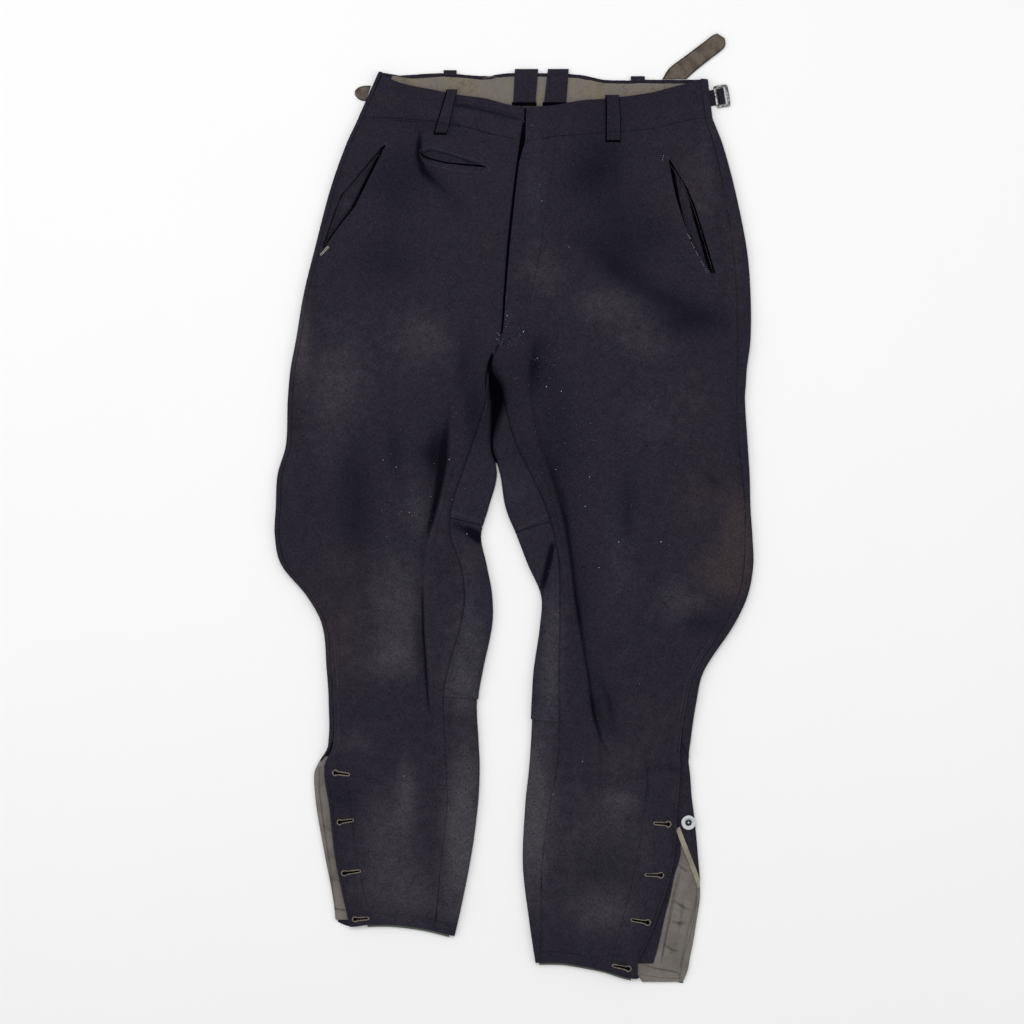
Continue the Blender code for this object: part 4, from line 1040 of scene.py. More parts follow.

# The back tabs and the belt loops
# Two wide wool tabs come over the back of the waist to the inside, and narrow folded loops stand on
# the front band for a belt. The tops of two back loops just show over the edge.

# Near-black cotton for strips that paint shade: under the tab ends and loops, in the pocket mouths, between
# the legs and under the fly's edge
shade_black_cotton = cotton_finish(
    "shade_black_cotton",
    colour=(0.0011, 0.0009, 0.0019),
    stained=(0.0016, 0.0013, 0.0025),
    dirt=(0.0008, 0.0007, 0.0012),
    shine=0.0,
)
BACK_TABS = {"right": (-1.0, 23.0, 0.05, 0.08), "left": (32.0, 56.0, 0.12, 0.08)}
BACK_LOOPS = {"right": (-76.0, -62.0, 0.0), "left": (126.0, 141.0, 6.5)}
BELT_LOOPS = {
    "right": [
        (19.5, -71.5, -61.5, 0.0), (30, -74, -64, 1.2), (43, -78, -67, 1.5), (56, -82, -70, 0.8),
        (66, -85, -73, 0.0),
    ],
    "left": [
        (25.5, 99.5, 112.5, 0.0), (37, 100, 113, 1.2), (50, 100, 114, 1.5), (63, 100, 114, 0.8),
        (74, 100, 114, 0.0),
    ],
}


def through(table, count):
    """More rows, on smooth curves through a table's own."""
    table = np.asarray(table, float)
    knots = np.concatenate([2 * table[:1] - table[1:2], table, 2 * table[-1:] - table[-2:-1]])
    t = np.linspace(0, len(table) - 1, count)
    i = np.minimum(t.astype(int), len(table) - 2)
    u = (t - i)[:, None]
    a, b, c, d = (knots[i + k] for k in range(4))
    return 0.5 * (2 * b + (c - a) * u + (2 * a - 5 * b + 4 * c - d) * u**2 + (3 * b - a - 3 * c + d) * u**3)


def ribbon(name, table, count, thickness, material, columns=9, crown=0.25, creases=(), loose=0.0):
    """A strip of cloth from rows of left across and down, right across and down, and height."""
    rows = []
    shares = np.linspace(0.0, 1.0, columns)
    for x0, d0, x1, d1, z in through(table, count):
        rows.append([
            (blend(x0, x1, s), blend(d0, d1, s), z + crown * math.sin(math.pi * s)) for s in shares
        ])
    rows = np.array(rows)
    rows[..., 2] += crease_heights(rows[..., 0], rows[..., 1], creases)
    rows[..., 2] += loose * slack(rows[..., 0], rows[..., 1], 13.0, 4.0)
    rims = np.abs(2 * shares - 1) * np.ones((count, 1))
    rims[0] = rims[-1] = 1.0
    return cloth(name, rows, thickness, material, rims=rims)


over = WOOL + SEAM + LINING + SEAM + STRAP / 2
edge = WOOL + SEAM + STRAP / 2
for side, (low, high, low_slope, high_slope) in BACK_TABS.items():
    levels = [(down, over) for down in (35.0, 27.0, 18.0, 9.0, 2.5)] + [(-1.4, edge), (-3.3, edge - 1.1)]
    table = [(low + low_slope * (35 - d), d, high + high_slope * (35 - d), d, z) for d, z in levels]
    tab = ribbon("back_tab_wool_" + side, table, 22, STRAP, navy_wool)
    fade(tab)
    dress(tab, "back_tab_" + side, rests_on="waistband_cotton")
    # Painted shadow: a black strip where each tab's end passes under the front band
    table = [(low - 1.2, d, high + 1.2, d, over + 0.75) for d in (32.6, 34.0, 36.5)]
    tab_end_shadow = ribbon("back_tab_shade_" + side, table, 5, 0.5, shade_black_cotton, crown=0.0)
    dress(tab_end_shadow, None, rests_on="waistband_cotton")
for side, (low, high, start) in BACK_LOOPS.items():
    table = [(low, d + start, high, d + start, z) for d, z in ((3.5, edge), (0.0, edge), (-2.0, edge - 1.3))]
    tab = ribbon("back_loop_wool_" + side, table, 8, STRAP, navy_wool, crown=0.1)
    fade(tab)
    dress(tab, "back_loop_" + side, rests_on="waistband_wool_back")
for leg in legs:
    base = leg.at(WAIST_SEAM, "top") + BAND / 2 + SEAM + STRAP / 2 + 0.3
    table = [(low, d, high, d, base + bow) for d, low, high, bow in BELT_LOOPS[leg.name]]
    loop = ribbon("belt_loop_wool_" + leg.name, table, 26, STRAP, navy_wool, crown=0.5)
    fade(loop)
    dress(loop, "belt_loop_" + leg.name, rests_on="waistband_wool_" + leg.name)
    # Painted shadow: a black strip that shows past each loop's left edge and bottom
    table = [(low - 1.5, d, high + 0.6, d, z - 0.8) for low, d, high, _, z in table]
    bottom = table[-1]
    table.append((bottom[0], bottom[1] + 2.0, bottom[2], bottom[1] + 2.0, bottom[4]))
    loop_edge_shadow = ribbon("belt_loop_shadow_" + leg.name, table, 28, 0.5, shade_black_cotton, crown=0.0)
    dress(loop_edge_shadow, None, rests_on="waistband_wool_" + leg.name)

# The waist straps
# Two ends of the strap that draws in the back of the waist: a short round one at the right side, and
# a long one, turned over, that lies loose beside the left side. Brown-olive twill with dark edges.

STRAP_END = [
    (160, 7.2, 186, 7.2, 0.9), (168, -5, 196, -2, 1.2), (184, -17, 211, -14, 1.8),
    (204, -32, 225, -25, 2.2), (213, -39, 228, -31, 2.0), (219, -42, 227, -37, 1.8),
]
STRAP_TAB = [
    (-154.6, 14.2, -159.9, 30.8, 0.6), (-161.5, 14.4, -163.5, 30.4, 0.6), (-166.5, 15.6, -167.5, 28.8, 0.6),
    (-170, 18, -170, 26.5, 0.6), (-171.6, 20.5, -171.6, 24, 0.6),
]


def strap_finish(name, start):
    """Twill strap, darkened along its edges from a share of its half width outwards."""
    constants = {"Roughness": 0.85, "Specular IOR Level": 0.2, "Sheen Weight": 0.03}
    dye = Dye(name, (0.120, 0.100, 0.078), constants)
    where = dye.places()
    smudge = dye.noise(where, 90.0, 4.0, 0.6)
    weave = dye.thread_weave(0.003, 0.0008)
    tone = dye.mix(smudge.between(0.40, 0.66), (0.112, 0.091, 0.071), (0.068, 0.053, 0.042))
    dark_edge = (dye.painted("rim") + (smudge - 0.5) * 0.2).between(start, 1.0)
    tone = dye.mix(dark_edge, tone, (0.010, 0.007, 0.008))
    tone = dye.mix(1.0, tone, (weave - 0.5) * 1.1 + 1.0, "MULTIPLY")
    dye.feed(dye.shader.inputs["Base Color"], tone)
    dye.bump(weave, 0.7, 0.0004)
    return dye.material


strap_end = ribbon("strap_end_twill", STRAP_END, 34, STRAP, strap_finish("strap_twill", 0.76), columns=15)
dress(strap_end, "strap_end", rests_on="floor")
tab_twill = strap_finish("strap_tab_twill_finish", 0.70)
strap_tab = ribbon("strap_tab_twill", STRAP_TAB, 16, STRAP, tab_twill, columns=13)
dress(strap_tab, "strap_tab", rests_on="floor")

# The buckle
# A small steel slide buckle, tarnished dark, hangs loose on a cloth stay that is turned round its
# centre bar. It swings on that bar, so it rides on a body of its own.

BUCKLE_ACROSS = 225.0
BUCKLE_DOWN = 25.6
BUCKLE_LEAN = math.radians(9.3)
BUCKLE_HEIGHT = 2.2
RING_ENDS = (-7.1, 5.4)
RING_SIDE = 10.7
RING_CORNER = 1.0
STAY_WALL = 1.1
STAY_WIDTH = 17.0
STAY_RADIUS = 1.65

steel = Dye("tarnished_steel", (0.10, 0.09, 0.09), {"Metallic": 1.0, "Roughness": 0.42})
where = steel.places()
tarnish = steel.noise(where, 420.0, 4.0, 0.6)
scuff = steel.noise(where, 1600.0, 2.0)
tone = steel.mix(tarnish.between(0.40, 0.62), (0.33, 0.32, 0.33), (0.050, 0.040, 0.038))
steel.feed(steel.shader.inputs["Base Color"], tone)
steel.feed(steel.shader.inputs["Roughness"], tarnish * 0.5 + scuff * 0.2 + 0.15)
steel.bump(tarnish * 0.6 + scuff * 0.4, 0.3, 0.0001)


def beside_buckle(x, y, z):
    """A place given along and across the buckle, in the shared frame."""
    c, s = math.cos(BUCKLE_LEAN), math.sin(BUCKLE_LEAN)
    return (
        (BUCKLE_ACROSS + x * c - y * s) * MM,
        (WAIST_Y - BUCKLE_DOWN + x * s + y * c) * MM,
        (BUCKLE_HEIGHT + z) * MM,
    )


def bar_round(path, across, thick, sides=10, closed=True):
    """A bar of oval section that follows a path in the buckle's own plane: points and faces."""
    points, faces = [], []
    count = len(path)
    for k, (x, y) in enumerate(path):
        x0, y0 = path[k - 1] if closed or k else path[0]
        x1, y1 = path[(k + 1) % count] if closed or k < count - 1 else path[-1]
        length = math.hypot(x1 - x0, y1 - y0)
        nx, ny = (y1 - y0) / length, -(x1 - x0) / length
        wide = across[k] if isinstance(across, list) else across
        for j in range(sides):
            angle = 2 * math.pi * j / sides
            out, up = math.cos(angle), math.sin(angle)
            flat = abs(out) ** 0.6 * (1 if out > 0 else -1) * wide / 2
            points.append((x + nx * flat, y + ny * flat, abs(up) ** 0.7 * (1 if up > 0 else -1) * thick / 2))
    for k in range(count if closed else count - 1):
        for j in range(sides):
            a, b = k * sides + j, k * sides + (j + 1) % sides
            c, d = ((k + 1) % count) * sides + (j + 1) % sides, ((k + 1) % count) * sides + j
            faces.append((a, b, c, d))
    if not closed:
        faces += [tuple(range(sides))[::-1], tuple((count - 1) * sides + j for j in range(sides))]
    return points, faces


path, widths = [], []
for quarter, (side, end) in enumerate(((1, 1), (-1, 1), (-1, -1), (1, -1))):
    cx = RING_ENDS[side > 0] - side * RING_CORNER
    cy = end * (RING_SIDE - RING_CORNER)
    for step in range(6):
        angle = math.pi / 2 * (quarter + step / 5)
        path.append((cx + RING_CORNER * math.cos(angle), cy + RING_CORNER * math.sin(angle)))
        widths.append(2.7)
    far_x, far_y = path[-1]
    if quarter in (0, 2):
        next_x = (RING_ENDS[0] + RING_CORNER) if quarter == 0 else (RING_ENDS[1] - RING_CORNER)
        for step in range(1, 4):
            path.append((blend(far_x, next_x, step / 4), far_y))
            widths.append(2.6)
    else:
        for step in range(1, 6):
            bow = 0.35 * math.sin(math.pi * step / 6) * (1 if quarter == 3 else 0)
            path.append((far_x + bow, blend(far_y, -far_y, step / 6)))
            widths.append(3.0)
ring, ring_faces = bar_round(path, widths, 1.6)
pin, pin_faces = bar_round([(0.0, y) for y in np.linspace(-10.2, 10.2, 9)], 1.5, 1.5, closed=False)
pin_faces = [tuple(index + len(ring) for index in face) for face in pin_faces]
mesh = bpy.data.meshes.new("buckle_steel")
mesh.from_pydata([beside_buckle(*point) for point in ring + pin], [], ring_faces + pin_faces)
work = bmesh.new()
work.from_mesh(mesh)
bmesh.ops.recalc_face_normals(work, faces=work.faces[:])
work.to_mesh(mesh)
work.free()
mesh.materials.append(steel.material)
mesh.shade_smooth()
buckle = place("buckle_steel", mesh)
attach(buckle, "buckle")
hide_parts("buckle")

profile = [(x, -STAY_RADIUS) for x in (-14.3, -10.0, -6.0, -3.0, 0.0)]
for turn in range(-75, 100, 15):
    profile.append((STAY_RADIUS * math.cos(math.radians(turn)), STAY_RADIUS * math.sin(math.radians(turn))))
profile += [(-1.1, 1.6), (-1.9, 1.25), (-2.7, 0.7), (-3.5, 0.3)]
points, cut = [], []
length = 0.0
for k, (x, z) in enumerate(profile):
    length += math.dist(profile[k], profile[k - 1]) if k else 0.0
    for j in range(8):
        y = blend(-STAY_WIDTH / 2, STAY_WIDTH / 2, j / 7)
        points.append(beside_buckle(x, y, z))
        cut.append((y * MM, length * MM))
faces = [
    (k * 8 + j, (k + 1) * 8 + j, (k + 1) * 8 + j + 1, k * 8 + j + 1)
    for k in range(len(profile) - 1)
    for j in range(7)
]
stay = closed_sheet("buckle_stay_wool", points, faces, cut, STAY_WALL, navy_wool, angle=50)
fade(stay)
dress(stay, "buckle_stay", rests_on="floor")

# The pocket facings
# Inside each mouth lies the pocket's facing, of the same navy wool, a little below the front.

FACING_MARGIN = 7.0


def panel_height(leg, across, down):
    """The height of a front's middle at a place on it."""
    x, z = front_section(leg, down)
    order = np.argsort(x)
    level = np.interp(across, x[order], z[order])
    return level + float(top_relief(leg, np.array([across]), np.array([down]))[0])


for name, node, leg, mouth, size, area in (
    ("hip_facing_wool_right", "hip_facing_right", right, HIP_RIGHT, (0.045, 0.130), 0.0034),
    ("hip_facing_wool_left", "hip_facing_left", left, HIP_LEFT, (0.045, 0.135), 0.0034),
    ("watch_facing_wool", "watch_facing", right, WATCH, (0.025, 0.072), 0.0014),
):
    rows = []
    for down_a, across_a, down_b, across_b in through(mouth, 30):
        a = Vector((across_a, down_a))
        b = Vector((across_b, down_b))
        gape = (b - a).length
        way = (b - a) / gape if gape > 0.05 else Vector((0.0, -1.0))
        a = a - way * FACING_MARGIN
        b = b + way * FACING_MARGIN
        row = []
        for k in range(11):
            point = a.lerp(b, k / 10)
            hollow = 0.25 + 0.06 * gape * math.sin(math.pi * k / 10)
            level = panel_height(leg, point.x, point.y) - (WOOL / 2 + SEAM + LINING / 2) - hollow
            row.append((point.x, point.y, max(level, 3.0)))
        rows.append(row)
    facing = cloth(name, rows, LINING, navy_wool)
    fade(facing)
    dress(facing, node, rests_on="wool_front_" + leg.name)

# In each mouth a black cotton strip beside a lip paints the shade inside the pocket
for name, leg, mouth, lip, upper, lower, area in (
    ("hip_bag_right_front", right, HIP_RIGHT, 2, 3.2, 3.2, 0.00058),
    ("hip_bag_right_back", right, HIP_RIGHT, 0, 1.0, 1.0, 0.00042),
    ("hip_bag_left_front", left, HIP_LEFT, 0, 0.8, 6.5, 0.00066),
    ("hip_bag_left_back", left, HIP_LEFT, 2, 4.6, 1.0, 0.00058),
    ("watch_bag", right, WATCH, 0, 2.3, 2.3, 0.00030),
):
    table = []
    for step, row in enumerate(through(mouth, 14)):
        width = blend(upper, lower, ease(step / 13, 0.3, 0.7))
        near = Vector((row[lip + 1], row[lip]))
        far = Vector((row[3 - lip], row[2 - lip]))
        gape = (far - near).length
        way = (far - near) / gape if gape > 0.05 else Vector((0.0, 0.0))
        inner = near + way * min(width, gape)
        outer = near - way * 3.0
        level = panel_height(leg, near.x, near.y) - WOOL / 2 - 0.35
        table.append((outer.x, outer.y, inner.x, inner.y, max(level, 3.4)))
    mouth_shade = ribbon(name, table, 40, 0.4, shade_black_cotton, columns=6, crown=0.0)
    length = 0.070 if mouth is WATCH else 0.125
    dress(mouth_shade, None, rests_on="wool_front_" + leg.name)

# The calf plackets
# Both calves open at the side. On the right one a grey cotton underlap shows beside the front, and on
# the left one a grey facing with navy wool folded over it, edged with a cream strip.

UNDERLAP_RIGHT = [
    (738, -207, -199), (747, -212, -192), (757, -215.5, -186), (775, -215, -184), (800, -212, -182),
    (828, -207, -178),
    (855, -202, -176), (880, -197, -170), (899, -194, -166), (914, -192.5, -162),
]
UNDERLAP_LEFT = [
    (716, 172, 186), (727, 171, 187), (738, 171, 187.5), (749, 168, 188.8), (760, 166, 190),
    (781, 166, 191.5),
    (800, 167, 194), (814, 170, 195.5), (830, 178.5, 197), (848, 186.5, 198.5), (865, 193.5, 200),
    (873, 198, 200.2),
]
FACING_LEFT = [
    (822, 160, 184), (840, 158, 190), (858, 154, 196), (875, 150, 200), (890, 147, 200.5), (904, 143, 198.5),
    (920, 138, 196), (936, 133, 193.5), (953, 132, 190), (969, 132, 187), (981, 138, 182),
]
FACING_CREASES = [
    (1.1, 1.6, [(172, 842, 0.5), (186, 852, 1), (193, 866, 0.4)]),
    (0.9, 1.5, [(165, 880, 0.5), (176, 884, 1), (188, 882, 0.4)]),
    (1.2, 1.5, [(168, 898, 0.4), (180, 903, 1), (194, 900, 0.6)]),
    (1.0, 1.6, [(158, 918, 0.4), (172, 916, 1), (186, 922, 0.5)]),
    (1.1, 1.6, [(156, 934, 0.5), (168, 940, 1), (182, 936, 0.4)]),
    (0.9, 1.5, [(150, 956, 0.5), (166, 953, 1), (180, 958, 0.4)]),
    (0.9, 1.3, [(178, 862, 0.6), (174, 890, 1), (168, 925, 0.8), (164, 950, 0.4)]),
    (0.4, 1.5, [(-200, 800, 0.5), (-197, 830, 1), (-192, 860, 0.5)]),
]

# Painted shade along the creases and fold lines: strength, half width in mm, and the line with its strength
FACING_CREASE_SHADE = [
    (0.8, 1.3, [(178, 864, 0.8), (172, 888, 1), (166, 919, 0.9), (160, 953, 1)]),
    (0.7, 1.2, [(197, 881, 0.7), (195, 900, 1), (186.5, 929, 0.8), (179.5, 965, 1)]),
    (0.9, 1.4, [(173, 894, 0.5), (180.5, 899, 1), (191, 904, 0.4)]),
    (0.9, 1.6, [(169.6, 915, 0.4), (179, 918, 1), (184, 917, 0.5)]),
    (0.9, 1.3, [(163.7, 942, 0.7), (170.8, 947, 1), (176, 948, 0.5)]),
    (0.8, 1.3, [(175.7, 854, 0.6), (185, 861, 1), (190, 862, 0.4)]),
    (0.8, 1.2, [(140, 963, 0.6), (153, 966.4, 1), (177, 971, 1), (179.5, 977, 0.8)]),
    (0.5, 2.2, [(184, 880, 0.3), (181, 905, 1), (174, 945, 0.3)]),
    (0.7, 1.2, [
        (-209.7, 750, 0.7), (-209.7, 778, 1), (-204.7, 816, 1), (-198.4, 856, 0.9), (-193.3, 901, 1),
    ]),
    (0.9, 1.2, [(-195, 902, 0.8), (-183, 903.5, 1)]),
    (0.6, 1.6, [(-206, 812, 0.4), (-196, 819, 1), (-188, 824, 0.4)]),
    (0.5, 1.6, [(-198, 868, 0.4), (-189, 872, 1), (-183, 880, 0.4)]),
]


def paint_crease_shade(obj, lines):
    """Give a cotton piece the painted shade of its creases as an attribute."""
    across, down, _ = on_garment(obj)
    layer = obj.data.attributes.new("crease_shade", "FLOAT", "POINT")
    layer.data.foreach_set("value", crease_heights(across, down, lines))


facing_cotton = cotton_finish(
    "facing_cotton", colour=(0.158, 0.143, 0.129), stained=(0.138, 0.124, 0.110), dirt=(0.098, 0.090, 0.084)
)
first_layer = WOOL + SEAM + LINING / 2
second_layer = first_layer + LINING + SEAM
for name, node, table, material, size, area in (
    ("placket_cotton_right", "placket_right", UNDERLAP_RIGHT, facing_cotton, (0.032, 0.178), 0.0048),
    ("placket_cotton_left", "placket_facing", FACING_LEFT, facing_cotton, (0.060, 0.162), 0.0077),
    ("placket_wool_left", "placket_left", UNDERLAP_LEFT, navy_wool, (0.029, 0.160), 0.0024),
):
    level = second_layer if material is navy_wool else first_layer
    table = [(x0, down, x1, down, level) for down, x0, x1 in table]
    wrinkles = {"creases": FACING_CREASES, "loose": 0.3}
    piece = ribbon(name, table, 120, LINING, material, columns=40, crown=0.0, **wrinkles)
    if material is navy_wool:
        fade(piece)
    else:
        paint_crease_shade(piece, FACING_CREASE_SHADE)
    dress(piece, node, rests_on="wool_back_" + name.split("_")[-1])

EDGE_STRIP = [
    (174.2, 816.0, 178.6, 813.5), (181.0, 834.5, 185.7, 832.0), (187.0, 849.5, 191.6, 847.0),
    (194.6, 869.0, 198.9, 866.5), (198.2, 880.5, 200.3, 877.5),
]
cream_cotton = cotton_finish("cream_cotton", (0.27, 0.245, 0.19), (0.22, 0.20, 0.15), (0.14, 0.125, 0.10))
table = [(x0, d0, x1, d1, second_layer + LINING / 2 + 0.45) for x0, d0, x1, d1 in EDGE_STRIP]
edging = ribbon("placket_edging_left", table, 26, 0.5, cream_cotton, columns=6, crown=0.15)
dress(edging, None, rests_on="placket_wool_left")

UNDER_EDGE = [
    (812, 168, 176), (826, 169, 178.5), (834, 168, 179.5), (846, 165, 179), (867, 160, 172.8),
    (888, 156, 168.5), (909, 150, 163), (942, 136, 155.5), (961, 126, 150),
]
table = [(x0, down, x1, down, second_layer) for down, x0, x1 in UNDER_EDGE]
under_edge = ribbon("placket_under_wool", table, 40, LINING, navy_wool, columns=10, crown=0.0)
fade(under_edge)
dress(under_edge, None, rests_on="placket_cotton_left")

# The hem bindings
# Each hem is faced inside with a grey-green cotton tape, whose edge shows below the wool.

hem_cotton = cotton_finish("hem_cotton", (0.110, 0.132, 0.114), (0.128, 0.128, 0.108), (0.060, 0.062, 0.058))
for leg, start, end, size, area in (
    (right, -158.0, -70.0, (0.089, 0.015), 0.0013),
    (left, 27.0, 126.0, (0.101, 0.015), 0.0015),
):
    table = []
    for x in np.linspace(start, end, 12):
        hem = read_table(leg.hem, HEM_COLUMNS, x, "down")
        table.append((x, hem - 12.0, x, hem + 2.8, first_layer))
    binding = ribbon("tab_end_shadow_" + leg.name, table, 60, LINING, hem_cotton, columns=7, crown=0.0)
    dress(binding, "hem_" + leg.name, rests_on="wool_back_" + leg.name)

# The button
# One pale four-hole button is left, turned with a raised rim.

BUTTON_AT = (188.0, 809.0)
BUTTON_PROFILE = [
    (0.0, 1.45), (2.6, 1.45), (3.2, 1.2), (3.8, 1.2), (4.6, 1.9), (5.4, 2.6), (6.5, 2.7), (7.2, 2.3),
    (7.8, 1.5), (7.5, 0.7), (6.4, 0.0), (0.0, 0.0),
]
HOLE_CENTRE = 1.75
mesh = bpy.data.meshes.new("button_pale")
base = second_layer + LINING / 2 + SEAM
edges = [(k, k + 1) for k in range(len(BUTTON_PROFILE) - 1)]
mesh.from_pydata([(x * MM, 0.0, z * MM) for x, z in BUTTON_PROFILE], edges, [])
button = place("button_pale", mesh)
turned = button.modifiers.new("turned", "SCREW")
turned.steps = 48
turned.render_steps = 48
turned.use_merge_vertices = True
turned.merge_threshold = 0.00001
settle(button)
work = bmesh.new()
work.from_mesh(button.data)
bmesh.ops.remove_doubles(work, verts=work.verts[:], dist=0.00001)
bmesh.ops.recalc_face_normals(work, faces=work.faces[:])
middle = (BUTTON_AT[0] * MM, (WAIST_Y - BUTTON_AT[1]) * MM)
bmesh.ops.translate(work, verts=work.verts[:], vec=(*middle, base * MM))
work.to_mesh(button.data)
work.free()
drill = bmesh.new()
for number in range(4):
    angle = math.radians(45 + 90 * number)
    sizes = {"segments": 14, "radius1": 0.0009, "radius2": 0.0009, "depth": 0.008}
    hole = bmesh.ops.create_cone(drill, cap_ends=True, **sizes)
    x = (BUTTON_AT[0] + HOLE_CENTRE * math.cos(angle)) * MM
    y = (WAIST_Y - BUTTON_AT[1] + HOLE_CENTRE * math.sin(angle)) * MM
    bmesh.ops.translate(drill, verts=hole["verts"], vec=(x, y, base * MM))
cut_away(button, drill)
shell = Dye("pale_shell", (0.52, 0.55, 0.57), {"Roughness": 0.25, "Coat Weight": 0.3, "Coat Roughness": 0.15})
bloom = shell.noise(shell.places(), 260.0, 3.0)
reach = shell.node(
    "ShaderNodeVectorMath",
    {"operation": "DISTANCE"},
    {0: shell.places(scale=(1.0, 1.0, 0.0)), 1: (*middle, 0.0)},
    output="Value",
)
tone = shell.mix(bloom.between(0.35, 0.7), (0.46, 0.50, 0.53), (0.60, 0.60, 0.58))
# Painted shade: a dark ring where the groove inside the rim lies
tone = shell.mix(1.0 - reach.between(0.0035, 0.0039), tone, (0.006, 0.005, 0.010))
tone = shell.mix(1.0 - reach.between(0.0008, 0.0013), tone, (0.42, 0.43, 0.45))
shell.feed(shell.shader.inputs["Base Color"], tone)
shell.feed(shell.shader.inputs["Roughness"], bloom * 0.3 + 0.15)
button.data.materials.clear()
button.data.materials.append(shell.material)
smooth(button, 45)
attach(button, "breeches")
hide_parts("button")

# The painted shade at the crotch and under the fly's edge
# Between the legs, a strip of near-black cotton lies low on the floor and closes the crotch as painted shade.
# Under the fly's edge, a black cotton strip on the right front paints the shadow line.

gap_shade_line = [
    (-23.5, 290), (-24.5, 300), (-25.5, 310), (-27.5, 320), (-27.5, 330), (-24.5, 350), (-23.8, 372),
    (-23.6, 396), (-21.2, 410), (-18.6, 421),
]
table = [(x - 3.0, down, x + 3.0, down, 0.75) for x, down in gap_shade_line]
gap_shade = ribbon("crotch_gap_shade", table, 30, LINING, shade_black_cotton, columns=6, crown=0.0)
dress(gap_shade, None, rests_on="floor")

# Painted shadow: a black strip under the left front's edge along the fly
table = []
for down in np.linspace(40.0, 282.0, 50):
    x = left.inner_seam(down) if down > WAIST_SEAM else left.at(WAIST_SEAM, "edge") + 1.0
    wide = 1.8 + 1.0 * math.sin(math.pi * min((down - 40.0) / 242.0, 1.0))
    level = panel_height(right, x, max(down, 72.0)) + WOOL / 2 + 0.45
    table.append((x - wide, down, x + 3.0, down, level))
fly_shadow = ribbon("fly_edge_shadow", table, 90, 0.6, shade_black_cotton, columns=6, crown=0.0)
dress(fly_shadow, None, rests_on="wool_front_right")

# The sewing
# Every seam is stitched in dark thread that has sunk into the wool. The buttonholes are whipped with
# olive buttonhole twist, and pale tacking thread is left at the pocket ends and the fly.

GRID_SQUARE = 1.08
GRID_MIDDLE = 514
GRID_WAIST = 73

shells = [obj for obj in bpy.context.scene.collection.objects if obj.type == "MESH"]
shell_points, shell_faces = [], []
for obj in shells:
    start = len(shell_points)
    shell_points += [vertex.co.copy() for vertex in obj.data.vertices]
    shell_faces += [tuple(start + index for index in face.vertices) for face in obj.data.polygons]
surface = BVHTree.FromPolygons(shell_points, shell_faces)


def on_cloth(x, down):
    """The point on top of whatever lies at a place, or nothing where that is the bare floor."""
    hit, _, _, _ = surface.ray_cast(Vector((x * MM, (WAIST_Y - down) * MM, 0.06)), Vector((0.0, 0.0, -1.0)))
    return hit


def grow(name, points, edges, tree, values, material):
    """A plain mesh of what a node tree makes from points and edges."""
    mesh = bpy.data.meshes.new(name)
    mesh.from_pydata(points, edges, [])
    obj = place(name, mesh)
    nodes = obj.modifiers.new("sewing", "NODES")
    nodes.node_group = tree
    for socket in tree.interface.items_tree:
        if socket.name in values:
            nodes[socket.identifier] = values[socket.name]
        elif socket.name == "Material":
            nodes[socket.identifier] = material
    settle(obj)
    obj.data.shade_smooth()
    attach(obj, "breeches")
    return obj


def new_tree(name, sockets):
    tree = bpy.data.node_groups.new(name, "GeometryNodeTree")
    tree.interface.new_socket(name="Geometry", in_out="INPUT", socket_type="NodeSocketGeometry")
    tree.interface.new_socket(name="Geometry", in_out="OUTPUT", socket_type="NodeSocketGeometry")
    for socket, kind in sockets.items():
        tree.interface.new_socket(name=socket, in_out="INPUT", socket_type=kind)
    return tree


def add(tree, kind, settings, inputs):
    """A node with its settings made and its inputs set or linked."""
    node = tree.nodes.new(kind)
    for name, value in settings.items():
        setattr(node, name, value)
    for name, value in inputs.items():
        if isinstance(value, bpy.types.NodeSocket):
            tree.links.new(value, node.inputs[name])
        else:
            node.inputs[name].default_value = value
    return node


def end_tree(tree, each, material):
    """Make a tree's instances real, give them their material and pass them out."""
    real = add(tree, "GeometryNodeRealizeInstances", {}, {"Geometry": each.outputs["Instances"]})
    inputs = {"Geometry": real.outputs["Geometry"], "Material": material}
    coated = add(tree, "GeometryNodeSetMaterial", {}, inputs)
    out = tree.nodes.new("NodeGroupOutput")
    tree.links.new(coated.outputs["Geometry"], out.inputs["Geometry"])


def stitch_tree():
    """A stitch at every step along each line, of a given length, width and height."""
    tree = new_tree("stitches", {
        "Step": "NodeSocketFloat", "Length": "NodeSocketFloat", "Width": "NodeSocketFloat",
        "Height": "NodeSocketFloat", "Seed": "NodeSocketInt", "Material": "NodeSocketMaterial",
    })
    given = tree.nodes.new("NodeGroupInput").outputs
    line = add(tree, "GeometryNodeMeshToCurve", {}, {"Mesh": given["Geometry"]})
    places = add(tree, "GeometryNodeCurveToPoints", {"mode": "LENGTH"}, {
        "Curve": line.outputs["Curve"], "Length": given["Step"],
    })
    turn = add(tree, "FunctionNodeAlignRotationToVector", {"axis": "X"}, {
        "Vector": places.outputs["Tangent"],
    })
    size = add(tree, "ShaderNodeCombineXYZ", {}, {
        "X": given["Length"], "Y": given["Width"], "Z": given["Height"],
    })
    uneven = add(tree, "FunctionNodeRandomValue", {"data_type": "FLOAT"}, {
        "Min": 0.8, "Max": 1.15, "Seed": given["Seed"],
    })
    scaled = add(tree, "ShaderNodeVectorMath", {"operation": "SCALE"}, {
        "Vector": size.outputs[0], "Scale": uneven.outputs["Value"],
    })
    shape = add(tree, "GeometryNodeMeshUVSphere", {}, {"Segments": 6, "Rings": 4, "Radius": 0.5})
    each = add(tree, "GeometryNodeInstanceOnPoints", {}, {
        "Points": places.outputs["Points"], "Instance": shape.outputs["Mesh"],
        "Rotation": turn.outputs["Rotation"], "Scale": scaled.outputs["Vector"],
    })
    end_tree(tree, each, given["Material"])
    return tree


